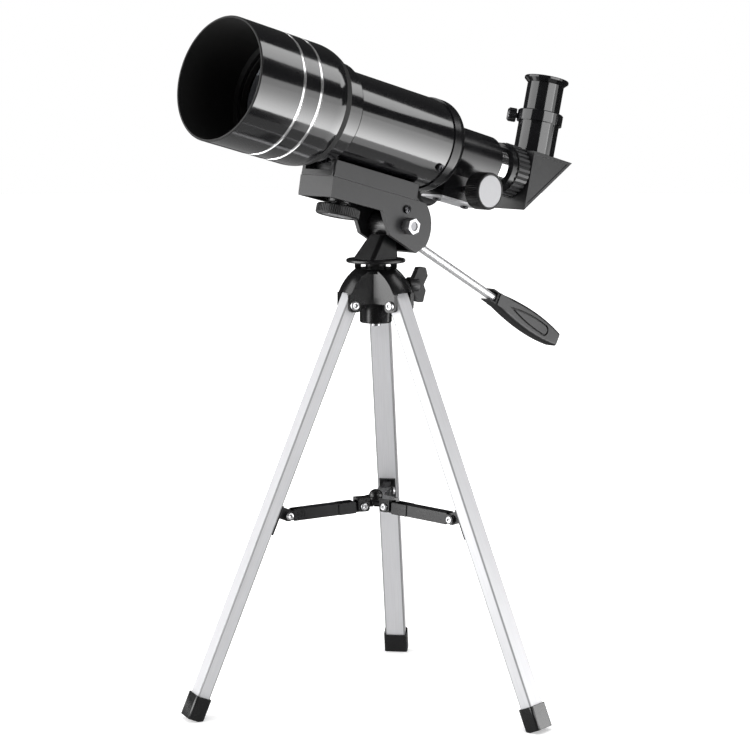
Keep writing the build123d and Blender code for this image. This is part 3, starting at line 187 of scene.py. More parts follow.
class StudioSetup(bpy.types.PropertyGroup):
    """Camera, lamps and reflected sheets."""

    turn: angle("Turn", "Camera turn from the front", 46.83)
    rise: angle("Rise", "Camera rise", 7.76)
    distance: length("Distance", "Camera to the middle of the tripod", 1.61876)
    aim: length("Aim", "Height that the camera looks at", 0.2274)
    focal: FloatProperty(name="Lens", description="Focal length in millimetres", default=113.45)
    shift: FloatProperty(name="Shift", description="Sideways shift of the picture", default=-0.0011)
    side_box: level("Side box", "Glow of the low soft box at the right", 6.4)
    rear_strip: level("Rear strip", "Glow of the strip above and behind", 2.5)
    flag: level("Flags", "Glow of the black flags above and on the floor", 0.035)
    card: level("Card", "Glow of the grey card round the feet", 0.3)
    low_wall: power("Low wall", "White wall at the rear right", 1.45)
    right_box: power("Right box", "Soft box at the right", 6.5)
    left_bounce: power("Left bounce", "White card at the front left", 9.5)
    front_box: power("Front box", "Large soft box at the front left", 27.0)
    top_box: power("Top box", "Soft box above", 13.0)
    fill: share("Fill", "Light from all round", 0.5)


def plug(tree, socket, value):
    """Join a socket to another one, or set it to a plain value."""
    if isinstance(value, bpy.types.NodeSocket):
        tree.links.new(value, socket)
    elif socket.type == "RGBA":
        socket.default_value = (*value, 1.0)
    else:
        socket.default_value = value


def feed(tree, node, **values):
    """Set or feed sockets of a node by their names."""
    for label, value in values.items():
        plug(tree, node.inputs[label.replace("_", " ")], value)


def calc(tree, operation, *values, clamp=False):
    """One arithmetic node."""
    node = tree.nodes.new("ShaderNodeMath")
    node.operation = operation
    node.use_clamp = clamp
    for socket, value in zip(node.inputs, values):
        plug(tree, socket, value)
    return node.outputs[0]


def aim(tree, operation, *values):
    """One vector node, which gives a vector or a value."""
    node = tree.nodes.new("ShaderNodeVectorMath")
    node.operation = operation
    for socket, value in zip(node.inputs, values):
        plug(tree, socket, value)
    return node.outputs["Value"] if operation in ("DOT_PRODUCT", "LENGTH") else node.outputs["Vector"]


def scaled(tree, vector, factor):
    """A direction or a colour times a factor."""
    node = tree.nodes.new("ShaderNodeVectorMath")
    node.operation = "SCALE"
    feed(tree, node, Vector=vector, Scale=factor)
    return node.outputs[0]


def ramp(tree, value, low, high, start=0.0, end=1.0):
    """A value brought smoothly from one range into another."""
    node = tree.nodes.new("ShaderNodeMapRange")
    node.interpolation_type = "SMOOTHSTEP"
    feed(tree, node, Value=value, From_Min=low, From_Max=high, To_Min=start, To_Max=end)
    return node.outputs["Result"]


def cloud(tree, vector, scale, detail=3.0, roughness=0.55):
    """A noise value between none and full."""
    node = tree.nodes.new("ShaderNodeTexNoise")
    feed(tree, node, Vector=vector, Scale=scale, Detail=detail, Roughness=roughness)
    return node.outputs["Fac"]


def blend_colour(tree, factor, first, second):
    """One colour over another."""
    node = tree.nodes.new("ShaderNodeMix")
    node.data_type = "RGBA"
    # A Mix node has sockets for values, vectors and colours, and these are the ones for colours.
    colour_a, colour_b, colour_result = 6, 7, 2
    plug(tree, node.inputs["Factor"], factor)
    plug(tree, node.inputs[colour_a], first)
    plug(tree, node.inputs[colour_b], second)
    return node.outputs[colour_result]


def new_group(name, inputs, outputs):
    """An empty shader node group with named inputs, their defaults, and named outputs."""
    tree = bpy.data.node_groups.new(name, "ShaderNodeTree")
    for label, default in inputs.items():
        kind = "NodeSocketVector" if isinstance(default, Vector) else "NodeSocketFloat"
        tree.interface.new_socket(name=label, in_out="INPUT", socket_type=kind).default_value = default
    for label in outputs:
        tree.interface.new_socket(name=label, in_out="OUTPUT", socket_type="NodeSocketFloat")
    return tree, tree.nodes.new("NodeGroupInput").outputs, tree.nodes.new("NodeGroupOutput").inputs


def surface(tree):
    """Where a point is on its own piece."""
    return tree.nodes.new("ShaderNodeTexCoord").outputs["Object"]


def moulded_grain():
    """Fine pebbled grain with slow changes of gloss, as a mould leaves it."""
    inputs = {"Size": 0.0006, "Gloss": 0.4, "Change": 0.1}
    tree, given, result = new_group("Moulded grain", inputs, ("Height", "Roughness", "Shade"))
    place = surface(tree)
    fine = cloud(tree, place, scale=calc(tree, "DIVIDE", 1.0, given["Size"]), detail=2.0)
    slow = cloud(tree, place, scale=45.0, detail=4.0)
    plug(tree, result["Height"], fine)
    drift = calc(tree, "MULTIPLY", calc(tree, "SUBTRACT", slow, 0.5), given["Change"])
    plug(tree, result["Roughness"], calc(tree, "ADD", given["Gloss"], drift, clamp=True))
    plug(tree, result["Shade"], ramp(tree, slow, 0.3, 0.7, 0.86, 1.1))
    return tree


def handled_gloss():
    """Gloss with faint finger marks and the slight ripple of sprayed paint."""
    inputs = {"Gloss": 0.1, "Marks": 0.06}
    tree, given, result = new_group("Handled gloss", inputs, ("Height", "Roughness", "Dust"))
    place = surface(tree)
    marks = ramp(tree, cloud(tree, place, scale=38.0, detail=5.0, roughness=0.6), 0.48, 0.72)
    plug(tree, result["Height"], cloud(tree, place, scale=160.0, detail=1.0))
    plug(tree, result["Roughness"], calc(tree, "MULTIPLY_ADD", marks, given["Marks"], given["Gloss"]))
    plug(tree, result["Dust"], ramp(tree, cloud(tree, place, scale=2600.0, detail=1.0), 0.70, 0.80))
    return tree


def drawn_streaks():
    """Fine lines along one direction, as on drawn and brushed metal."""
    inputs = {"Along": up, "Fineness": 2500.0}
    tree, given, result = new_group("Drawn streaks", inputs, ("Streak", "Patch"))
    place = surface(tree)
    # Nearly all of the length along the lines is taken out, which draws the noise out into streaks.
    taken_out = 0.985
    along = aim(tree, "DOT_PRODUCT", place, given["Along"])
    out = scaled(tree, given["Along"], calc(tree, "MULTIPLY", along, taken_out))
    squeezed = aim(tree, "SUBTRACT", place, out)
    plug(tree, result["Streak"], cloud(tree, squeezed, scale=given["Fineness"]))
    plug(tree, result["Patch"], cloud(tree, place, scale=30.0))
    return tree


def axis_place():
    """How far a point lies along an axis and away from it."""
    inputs = {"Point": Vector(), "Axis": up}
    tree, given, result = new_group("Axis place", inputs, ("Station", "Radius"))
    arm = aim(tree, "SUBTRACT", surface(tree), given["Point"])
    station = aim(tree, "DOT_PRODUCT", arm, given["Axis"])
    away = aim(tree, "SUBTRACT", arm, scaled(tree, given["Axis"], station))
    plug(tree, result["Station"], station)
    plug(tree, result["Radius"], aim(tree, "LENGTH", away))
    return tree


makers = {
    "Moulded grain": moulded_grain,
    "Handled gloss": handled_gloss,
    "Drawn streaks": drawn_streaks,
    "Axis place": axis_place,
}


def effect(tree, name, **values):
    """Place a shared effect in a material with its own values."""
    made = bpy.data.node_groups.get(name) or makers[name]()
    node = tree.nodes.new("ShaderNodeGroup")
    node.node_tree = made
    feed(tree, node, **values)
    return node.outputs


def tube_place(tree):
    """How far a point lies along the axis of the tube and away from it."""
    return effect(tree, "Axis place", Point=tube_middle, Axis=optical)


class Finish:
    """A material with its Principled shader and helpers to feed it."""

    def __init__(self, name):
        self.material = bpy.data.materials.new(name)
        self.material.use_nodes = True
        self.tree = self.material.node_tree
        self.shader = self.tree.nodes["Principled BSDF"]

    def set(self, **values):
        """Set or feed sockets of the shader."""
        feed(self.tree, self.shader, **values)

    def bump(self, height, depth, strength):
        """Raise the surface by a height, over any bump that is there."""
        node = self.tree.nodes.new("ShaderNodeBump")
        feed(self.tree, node, Strength=strength, Distance=depth, Height=height)
        before = self.shader.inputs["Normal"]
        if before.is_linked:
            self.tree.links.new(before.links[0].from_socket, node.inputs["Normal"])
        self.tree.links.new(node.outputs["Normal"], before)


def dress(finish, *nodes):
    """Put a finish on CAD pieces."""
    for name in nodes:
        for slot in frame["nodes"][name].material_slots:
            slot.material = finish.material


def soften(width, *nodes):
    """A small round on the sharp edges of CAD pieces."""
    for name in nodes:
        piece = frame["nodes"][name]
        weld = piece.modifiers.new("Join faces", "WELD")
        weld.merge_threshold = 0.000004
        flat = piece.modifiers.new("Flat faces", "DECIMATE")
        flat.decimate_type = "DISSOLVE"
        flat.angle_limit = math.radians(0.6)
        bevel = piece.modifiers.new("Small rounds", "BEVEL")
        bevel.width = width
        bevel.segments = 2
        bevel.limit_method = "ANGLE"
        bevel.angle_limit = math.radians(38)
        bevel.harden_normals = True


def gloss_paint(name, tube):
    """Deep gloss black with faint handling marks and specks of dust."""
    made = Finish(name)
    tree = made.tree
    gloss = effect(tree, "Handled gloss", Gloss=tube.paint_roughness, Marks=0.05)
    specks = calc(tree, "MULTIPLY", gloss["Dust"], 0.25)
    dusty = blend_colour(tree, specks, tube.paint, tube.dust)
    made.set(Base_Color=dusty, Roughness=gloss["Roughness"], IOR=1.62, Coat_Roughness=0.06)
    made.bump(gloss["Height"], depth=0.00006, strength=0.25)
    return made


def matt_inside(finish, outside, roughness, coat):
    """Keep the gloss and the coat of a painted tube to its outside."""
    tree = finish.tree
    polish = finish.shader.inputs["Roughness"].links[0].from_socket
    finish.set(
        Roughness=calc(tree, "MAXIMUM", polish, ramp(tree, outside, 0.0, 1.0, roughness, 0.0)),
        Coat_Weight=calc(tree, "MULTIPLY", outside, coat),
    )


def moulded(name, base, roughness, depth=0.00008, coat=0.0):
    """Moulded plastic with a fine grain."""
    made = Finish(name)
    size = bpy.context.scene.moulded_look.grain
    grain = effect(made.tree, "Moulded grain", Size=size, Gloss=roughness, Change=0.16)
    shade = scaled(made.tree, base, grain["Shade"])
    made.set(Base_Color=shade, Roughness=grain["Roughness"], Coat_Weight=coat)
    made.bump(grain["Height"], depth, strength=0.5)
    return made


def plated(name, base, along, roughness, metallic=1.0):
    """Bright metal with fine lines along one direction."""
    made = Finish(name)
    tree = made.tree
    lines = effect(tree, "Drawn streaks", Along=along, Fineness=3200.0)
    patch = ramp(tree, lines["Patch"], 0.3, 0.7, 0.93, 1.02)
    rough = calc(tree, "MULTIPLY_ADD", lines["Streak"], 0.12, roughness)
    made.set(Base_Color=scaled(tree, base, patch), Roughness=rough, Metallic=metallic)
    made.bump(lines["Streak"], depth=0.00003, strength=0.3)
    return made


def lens_glass(name, tint):
    """Clear polished glass with a few specks of dust."""
    made = Finish(name)
    specks = cloud(made.tree, surface(made.tree), scale=900.0, detail=2.0)
    made.set(Base_Color=tint, Roughness=ramp(made.tree, specks, 0.66, 0.8, 0.0, 0.12))
    made.set(IOR=1.52, Specular_IOR_Level=0.12, Transmission_Weight=1.0)
    return made


def screw_black(metal):
    """Blackened screw steel with bright wear."""
    made = Finish("Blackened screw")
    tree = made.tree
    lines = effect(tree, "Drawn streaks", Along=optical, Fineness=2200.0)
    wear = ramp(tree, lines["Streak"], 0.55, 0.75, 0.0, 0.5)
    made.set(
        Base_Color=blend_colour(tree, wear, metal.dark_steel, metal.steel),
        Metallic=1.0,
        Roughness=calc(tree, "MULTIPLY_ADD", lines["Streak"], 0.2, 0.22),
    )
    return made


class TELESCOPE_OT_finish_tube(bpy.types.Operator):
    """Paint the tube, the dew shield with its bright rings, and the objective"""

    bl_idname = "telescope.finish_tube"
    bl_label = "Finish Tube"

    def execute(self, context):
        tube = context.scene.tube_look
        paint = gloss_paint("Tube paint", tube)
        place = tube_place(paint.tree)
        skin = calc(paint.tree, "GREATER_THAN", place["Radius"], tube.bore)
        matt_inside(paint, skin, roughness=0.8, coat=tube.coat)
        dress(paint, "main_tube", "objective_cell")

        shield = gloss_paint("Dew shield paint", tube)
        tree = shield.tree
        place = tube_place(tree)
        bands = []
        for centre in (tube.ring_front, tube.ring_rear):
            away = calc(tree, "ABSOLUTE", calc(tree, "SUBTRACT", place["Station"], centre))
            bands.append(calc(tree, "LESS_THAN", away, tube.ring_width / 2))
        skin = calc(tree, "GREATER_THAN", place["Radius"], tube.shield_bore)
        behind = calc(tree, "LESS_THAN", place["Station"], tube.shield_edge)
        outside = calc(tree, "MULTIPLY", skin, behind)
        ring = calc(tree, "MULTIPLY", calc(tree, "ADD", *bands, clamp=True), outside)
        painted = shield.shader.inputs["Base Color"].links[0].from_socket
        walls = blend_colour(tree, outside, tube.inside, painted)
        shield.set(
            Base_Color=blend_colour(tree, ring, walls, tube.ring),
            Metallic=calc(tree, "MULTIPLY", ring, 0.85),
        )
        matt_inside(shield, outside, roughness=0.75, coat=tube.coat)
        dress(shield, "dew_shield")

        dress(moulded("Matt black ring", tube.inside, roughness=0.7), "lens_retaining_ring")
        dress(lens_glass("Coated lens", tube.objective), "crown_lens", "flint_lens")
        dress(screw_black(context.scene.metal_look), "small_screws")
        return {"FINISHED"}


class TELESCOPE_OT_finish_focuser(bpy.types.Operator):
    """Finish the focuser, its knobs and the bright drawtube"""

    bl_idname = "telescope.finish_focuser"
    bl_label = "Finish Focuser"

    def execute(self, context):
        plastic = context.scene.moulded_look
        metal = context.scene.metal_look
        focuser = moulded("Focuser gloss", plastic.gloss, roughness=0.2, depth=0.00003)
        dress(focuser, "focuser_housing", "drawtube_collar")

        ring = moulded("Clamp ring", plastic.black, roughness=0.34, depth=0.00003)
        tree = ring.tree
        widest = rim_of("clamp_ring", tube_middle, optical)[0]
        place = tube_place(tree)
        # Painted highlight and shade: the rib tops take the lighter rib colour, and the gaps between them stay
        # black.
        rib_top_highlight = ramp(tree, place["Radius"], widest - 0.0005, widest - 0.0001)
        ring.set(
            Base_Color=blend_colour(tree, rib_top_highlight, plastic.black, plastic.rib_top_highlight),
            Roughness=ramp(tree, rib_top_highlight, 0.0, 1.0, 0.7, 0.3),
        )
        dress(ring, "clamp_ring")

        dress(plated("Drawtube chrome", metal.chrome, optical, roughness=0.06), "drawtube")
        dress(plated("Pinion steel", metal.steel, across, roughness=0.25), "pinion")
        dress(moulded("Rack plastic", plastic.black, roughness=0.4), "focus_rack")
        dress(moulded("Focus knob", plastic.black, roughness=0.34), "focus_knob_left", "focus_knob_right")

        disc = Finish("Knob disc")
        tree = disc.tree
        place = effect(tree, "Axis place", Point=joint_point("focus_turn"), Axis=across)
        turned = cloud(tree, calc(tree, "MULTIPLY", place["Radius"], 900.0), scale=4.0, detail=2.0)
        disc.set(
            Base_Color=scaled(tree, metal.plate, ramp(tree, turned, 0.3, 0.7, 0.94, 1.03)),
            Roughness=calc(tree, "MULTIPLY_ADD", turned, 0.15, 0.38),
            Metallic=0.25,
        )
        dress(disc, "knob_discs")
        dress(plated("Pinion cover", metal.plate, optical, roughness=0.28, metallic=0.3), "pinion_cover")
        return {"FINISHED"}


class TELESCOPE_OT_finish_eyepiece(bpy.types.Operator):
    """Finish the diagonal, the eyepiece and its thumbscrew"""

    bl_idname = "telescope.finish_eyepiece"
    bl_label = "Finish Eyepiece"

    def execute(self, context):
        plastic = context.scene.moulded_look
        metal = context.scene.metal_look
        dress(moulded("Diagonal plastic", plastic.dark, roughness=0.3), "diagonal_housing")
        gloss = moulded("Eyepiece gloss", plastic.gloss, roughness=0.12, depth=0.00002, coat=0.6)
        dress(gloss, "eyepiece_holder", "eyepiece_body", "eyecup")
        dress(plated("Barrel chrome", metal.chrome, lift, roughness=0.07), "eyepiece_barrel", "diagonal_nose")
        glass = lens_glass("Eye lens glass", context.scene.tube_look.eye_glass)
        dress(glass, "eye_lens", "field_lens", "diagonal_prism")
        screw = plated("Thumbscrew steel", metal.thumbscrew, joint_axis("thumbscrew_turn"), roughness=0.3)
        dress(screw, "holder_thumbscrew")
        return {"FINISHED"}


def grip_plastic(plastic, along):
    """Plastic of the grip, with shade painted black in its fork and in the groove of its faces."""
    made = moulded("Grip plastic", plastic.dark, roughness=0.36)
    tree = made.tree
    ends = [corner.dot(along) for corner in corners_of("handle_grip")]
    rod_end = min(ends, key=lambda end: abs(end - joint_point("handle_twist").dot(along)))
    place = effect(tree, "Axis place", Point=along * rod_end, Axis=along)
    fork = calc(tree, "LESS_THAN", calc(tree, "ABSOLUTE", place["Station"]), plastic.grip_fork_shade)
    low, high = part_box("handle_grip")
    from_middle = aim(tree, "SUBTRACT", surface(tree), (low + high) / 2)
    side = calc(tree, "ABSOLUTE", aim(tree, "DOT_PRODUCT", from_middle, across))
    depth = calc(tree, "SUBTRACT", (high.x - low.x) / 2, side)
    # Painted shade: the fork, and all that lies in from the grip's two side faces such as the groove, turn black.
    painted_shade_mask = calc(tree, "MAXIMUM", fork, ramp(tree, depth, 0.0001, 0.0006))
    face = made.shader.inputs["Base Color"].links[0].from_socket
    worn = made.shader.inputs["Roughness"].links[0].from_socket
    made.set(
        Base_Color=blend_colour(tree, painted_shade_mask, face, plastic.black),
        Roughness=calc(tree, "MULTIPLY_ADD", painted_shade_mask, 0.25, worn),
    )
    return made


class TELESCOPE_OT_finish_head(bpy.types.Operator):
    """Finish the shoe, the tilt platform, the pan base and the handle"""

    bl_idname = "telescope.finish_head"
    bl_label = "Finish Head"

    def execute(self, context):
        plastic = context.scene.moulded_look
        metal = context.scene.metal_look
        along = joint_axis("handle_twist")
        dress(moulded("Grey plastic", plastic.grey, roughness=0.34), "mounting_shoe", "tilt_platform")
        dress(grip_plastic(plastic, along), "handle_grip")
        dress(moulded("Head black", plastic.black, roughness=0.3), "pan_base")
        dress(plated("Nut chrome", metal.steel, across, roughness=0.3), "tilt_nut")
        dress(plated("Bolt steel", metal.bolt, across, roughness=0.3), "tilt_bolt")
        dress(plated("Rod chrome", metal.chrome, along, roughness=0.34, metallic=0.6), "handle_rod")
        dress(moulded("Wheel plastic", plastic.black, roughness=0.36), "clamp_wheel")
        screws = plated("Clamp steel", metal.steel, across, roughness=0.25)
        dress(screws, "clamp_screw", "spindle_screw", "lock_screw")
        dress(plated("Insert brass", metal.brass, lift, roughness=0.25), "threaded_insert")
        return {"FINISHED"}


def leg_section(number):
    """The direction of a leg, the middle of its section, and half its width and depth."""
    points = corners_of("leg_" + number)
    pin = joint_axis("leg_fold_" + number)
    outward = pin.cross(up)
    best = None
    # A leg is thinnest when seen along itself, so its lean is looked for in steps of a tenth of a degree.
    for step in range(301):
        lean = math.radians(10 + 0.1 * step)
        for turn in (lean, -lean):
            along = up * math.cos(turn) + outward * math.sin(turn)
            reach = [point.dot(along.cross(pin)) for point in points]
            if best is None or max(reach) - min(reach) < best[0]:
                best = (max(reach) - min(reach), along, (max(reach) + min(reach)) / 2)
    thick, along, offset = best
    wide = [point.dot(pin) for point in points]
    middle = along.cross(pin) * offset + pin * (max(wide) + min(wide)) / 2
    return along, middle, (max(wide) - min(wide)) / 2, thick / 2


def leg_aluminium(number, metal):
    """Drawn aluminium with lines along the leg, and a darker line painted along its rounded corners as their
    shade.
    """
    along, middle, width, depth = leg_section(number)
    pin = joint_axis("leg_fold_" + number)
    made = Finish("Leg aluminium " + number)
    tree = made.tree
    lines = effect(tree, "Drawn streaks", Along=along, Fineness=2600.0)
    place = aim(tree, "SUBTRACT", surface(tree), middle)
    sides = []
    for direction, half in ((pin, width), (along.cross(pin), depth)):
        away = calc(tree, "ABSOLUTE", aim(tree, "DOT_PRODUCT", place, direction))
        sides.append(ramp(tree, away, half - metal.leg_corner_shade, half))
    # Painted shade: the colour falls to four tenths in a thin line along each rounded corner of the leg.
    corner = ramp(tree, calc(tree, "MULTIPLY", *sides), 0.0, 0.6, 1.0, 0.4)
    streak = ramp(tree, lines["Streak"], 0.3, 0.7, 0.95, 1.02)
    made.set(
        Base_Color=scaled(tree, metal.leg, calc(tree, "MULTIPLY", streak, corner)),
        Roughness=calc(tree, "MULTIPLY_ADD", lines["Patch"], 0.12, 0.32),
        Metallic=0.1,
    )
    made.bump(lines["Streak"], depth=0.00004, strength=0.4)
    return made


class TELESCOPE_OT_finish_tripod(bpy.types.Operator):
    """Finish the crown, the legs with their feet, and the spreader"""

    bl_idname = "telescope.finish_tripod"
    bl_label = "Finish Tripod"

    def execute(self, context):
        plastic = context.scene.moulded_look
        metal = context.scene.metal_look
        top = moulded("Tripod top plastic", plastic.black, roughness=0.26, depth=0.00005)
        dress(top, "tripod_crown", "centre_sleeve", "spreader_hub")
        dress(moulded("Wing knob", plastic.dark, roughness=0.36), "wing_knob")
        arms = moulded("Spreader plastic", plastic.dark, roughness=0.28, depth=0.00004)
        rubber = moulded("Foot rubber", plastic.rubber, roughness=0.26, depth=0.00004)
        for number in leg_numbers:
            dress(arms, "spreader_arm_" + number, "arm_tongue_" + number, "leg_bracket_" + number)
            dress(rubber, "foot_" + number)
            dress(leg_aluminium(number, metal), "leg_" + number)
        dress(plated("Rivet steel", metal.chrome, up, roughness=0.14), "leg_pins", "hub_pins")
        return {"FINISHED"}


def mesh_piece(name, mesh):
    """Turn a given mesh into an object of the scene."""
    data = bpy.data.meshes.new(name)
    mesh.to_mesh(data)
    mesh.free()
    made = bpy.data.objects.new(name, data)
    bpy.context.scene.collection.objects.link(made)
    return made


def standing_piece(name, mesh, point, axis):
    """A closed piece that stands on a point with its own Z along an axis."""
    bmesh.ops.recalc_face_normals(mesh, faces=mesh.faces)
    made = mesh_piece(name, mesh)
    made.matrix_world = Matrix.Translation(point) @ axis.to_track_quat("Z", "Y").to_matrix().to_4x4()
    return made


def join_loops(mesh, first, second):
    """Faces between two rows of corners that run round in the same way."""
    for corners in zip(first, first[1:] + first[:1], second[1:] + second[:1], second):
        mesh.faces.new(corners)


def turned_piece(name, profile, point, axis):
    """A turned piece from its radii and heights up to its pole, standing on a point along an axis."""
    mesh = bmesh.new()
    steps = 32
    turns = [2 * math.pi * step / steps for step in range(steps)]
    *rows, (_, top) = profile
    loops = [
        [mesh.verts.new((radius * math.cos(turn), radius * math.sin(turn), height)) for turn in turns]
        for radius, height in rows
    ]
    for first, second in zip(loops, loops[1:]):
        join_loops(mesh, first, second)
    pole = mesh.verts.new((0, 0, top))
    last = loops[-1]
    for first, second in zip(last, last[1:] + last[:1]):
        mesh.faces.new((first, second, pole))
    made = standing_piece(name, mesh, point, axis)
    made.data.shade_smooth()
    return made


def body_of(node):
    """The body that carries a CAD piece."""
    return next(body for body, nodes in frame["record"]["behaviour"]["bodies"].items() if node in nodes)


def ring_solid(name, rows, point, axis):
    """A closed ring from rows, each with its radii round the ring and its height."""
    mesh = bmesh.new()
    loops = []
    for radii, height in rows:
        step = 2 * math.pi / len(radii)
        loops.append([
            mesh.verts.new((radius * math.cos(place * step), radius * math.sin(place * step), height))
            for place, radius in enumerate(radii)
        ])
    for first, second in zip(loops, loops[1:] + loops[:1]):
        join_loops(mesh, first, second)
    return standing_piece(name, mesh, point, axis)


def rim_of(node, point, axis):
    """The widest radius of a turned CAD piece, and where that rim starts and ends along its axis."""
    places = [axis_split(corner, point, axis) for corner in corners_of(node)]
    radius = max(reach for reach, along in places)
    near_rim = 0.00005
    rim = [along for reach, along in places if reach > radius - near_rim]
    return radius, min(rim), max(rim)


def rib_band(node, joint, axis, count, depth, taper):
    """Moulded ribs round the rim of a knob."""
    proud, sunk = 0.00003, 0.0003
    point = joint_point(joint)
    radius, low, high = rim_of(node, point, axis)
    corners = 4 * count
    root = [radius + proud] * corners
    ribs = [radius + (depth if place % 4 in (1, 2) else proud) for place in range(corners)]
    inner = [radius - sunk] * corners
    rows = [(inner, low), (root, low), (ribs, low + taper), (ribs, high - taper), (root, high), (inner, high)]
    band = ring_solid(node + "_ribs", rows, point, axis)
    band.data.materials.append(frame["nodes"][node].material_slots[0].material)
    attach(band, body_of(node))


class TELESCOPE_OT_add_ribs(bpy.types.Operator):
    """Add the gripping ribs of the focus knobs, the clamp wheel and the thumbscrew"""

    bl_idname = "telescope.add_ribs"
    bl_label = "Add Ribs"

    def execute(self, context):
        for knob in ("focus_knob_left", "focus_knob_right"):
            rib_band(knob, "focus_turn", across, count=64, depth=0.00032, taper=0.0006)
        rib_band("clamp_wheel", "clamp_wheel_turn", lift, count=60, depth=0.0004, taper=0.0006)
        screw_axis = joint_axis("thumbscrew_turn")
        rib_band("holder_thumbscrew", "thumbscrew_turn", screw_axis, count=14, depth=0.0005, taper=0.0005)
        return {"FINISHED"}


def loose_solids(node):
    """The corner points of each separate solid of a CAD piece, in the order of the mesh."""
    mesh = bmesh.new()
    mesh.from_mesh(frame["nodes"][node].data)
    bmesh.ops.remove_doubles(mesh, verts=mesh.verts, dist=0.000002)
    mesh.verts.index_update()
    waiting = dict.fromkeys(mesh.verts)
    solids = []
    while waiting:
        found = [next(iter(waiting))]
        del waiting[found[0]]
        for vertex in found:
            for edge in vertex.link_edges:
                other = edge.other_vert(vertex)
                if other in waiting:
                    del waiting[other]
                    found.append(other)
        found.sort(key=lambda vertex: vertex.index)
        solids.append([vertex.co.copy() for vertex in found])
    mesh.free()
    return solids


def screw_place(points):
    """The middle of a screw's head top, and the direction it looks in."""
    middle = sum(points, Vector()) / len(points)
    from_tube = middle - tube_middle
    outward = (from_tube - optical * from_tube.dot(optical)).normalized()

    def spread(axis):
        return max(axis_split(point, middle, axis)[0] for point in points)

    axis = min((outward, across, -across, -lift), key=spread)
    if axis.dot(outward) < 0:
        axis = -axis
    top = max(point.dot(axis) for point in points)
    return middle + axis * (top - middle.dot(axis)), axis


def cross_head(name, point, axis, metal):
    """A domed screw head with a cross recess."""
    rings, steps = 14, 56
    # The slots' half width and reach are shares of the head's radius, and the skirt goes into the screw.
    slot_half, slot_reach, skirt = 0.16, 0.62, 0.0006
    radius = metal.screw_radius
    mesh = bmesh.new()

    def height(x, y):
        dome = metal.screw_dome * (1 - (x * x + y * y) / radius**2)
        near, far = sorted((abs(x), abs(y)))
        if near >= slot_half * radius:
            return dome
        return dome - metal.screw_recess * (1 - min(far / (slot_reach * radius), 1) ** 2)

    loops = []
    for ring in range(rings, 0, -1):
        reach = radius * ring / rings
        loops.append([])
        for step in range(steps):
            x, y = (reach * turn(2 * math.pi * step / steps) for turn in (math.cos, math.sin))
            loops[-1].append(mesh.verts.new((x, y, height(x, y))))
    loops.insert(0, [mesh.verts.new((vertex.co.x, vertex.co.y, -skirt)) for vertex in loops[0]])
    for first, second in zip(loops, loops[1:]):
        join_loops(mesh, first, second)
    mesh.faces.new(loops[-1])
    mesh.faces.new(loops[0])
    return standing_piece(name, mesh, point, axis)


class TELESCOPE_OT_add_screw_heads(bpy.types.Operator):
    """Dome the heads of the small screws and give them a cross recess"""

    bl_idname = "telescope.add_screw_heads"
    bl_label = "Add Screw Heads"

    def execute(self, context):
        metal = context.scene.metal_look
        finish = frame["nodes"]["small_screws"].material_slots[0].material
        for number, points in enumerate(loose_solids("small_screws")):
            top, axis = screw_place(points)
            head = cross_head(f"screw_head_{number + 1}", top, axis, metal)
            head.data.materials.append(finish)
            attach(head, body_of("small_screws"))
        return {"FINISHED"}


def pin_ends(node, point, axis, reach):
    """How far a pin of this radius runs to either side of a point on its axis."""
    places = [axis_split(corner, point, axis) for corner in corners_of(node)]
    ends = [0.0] + [along for away, along in places if away < reach]
    return min(ends), max(ends)


# Radii and heights of a rivet's head, as shares of the rivet's radius.
rivet_profile = ((1.05, -0.24), (1.05, 0), (0.94, 0.14), (0.7, 0.25), (0.45, 0.28), (0.38, 0.12), (0, 0.08))


class TELESCOPE_OT_add_rivet_heads(bpy.types.Operator):
    """Dome the bright rivet heads of the crown, the hub and the leg brackets"""

    bl_idname = "telescope.add_rivet_heads"
    bl_label = "Add Rivet Heads"

    def execute(self, context):
        metal = context.scene.metal_look
        steel = plated("Rivet head", metal.chrome, up, roughness=0.28).material
        slack = 1.02
        for number in leg_numbers:
            for node, joint, body, radius in (
                ("leg_pins", "leg_fold_", "crown", metal.leg_rivet),
                ("hub_pins", "tongue_fold_", "hub", metal.arm_rivet),
                ("leg_bracket_" + number, "arm_fold_", "leg_" + number, metal.arm_rivet),
            ):
                point, axis = joint_point(joint + number), joint_axis(joint + number)
                profile = [(radius * wide, radius * high) for wide, high in rivet_profile]
                for side, end in zip((-1, 1), pin_ends(node, point, axis, radius * slack)):
                    name = f"rivet_{joint}{number}_{side + 2}"
                    head = turned_piece(name, profile, point + axis * end, axis * side)
                    head.data.materials.append(steel)
                    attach(head, body)
        return {"FINISHED"}


def plate_piece(name, middle, directions, halves):
    """A flat plate with rounded edges, from its middle, its three directions and its half sizes."""
    mesh = bmesh.new()
    bmesh.ops.create_cube(mesh, size=2.0)
    for vertex in mesh.verts:
        reaches = zip(directions, halves, vertex.co.copy())
        vertex.co = middle + sum((direction * half * sign for direction, half, sign in reaches), Vector())
    bmesh.ops.recalc_face_normals(mesh, faces=mesh.faces)
    bmesh.ops.bevel(mesh, geom=mesh.edges[:], offset=min(halves) * 0.6, segments=2, affect="EDGES")
    bmesh.ops.recalc_face_normals(mesh, faces=mesh.faces)
    return mesh_piece(name, mesh)


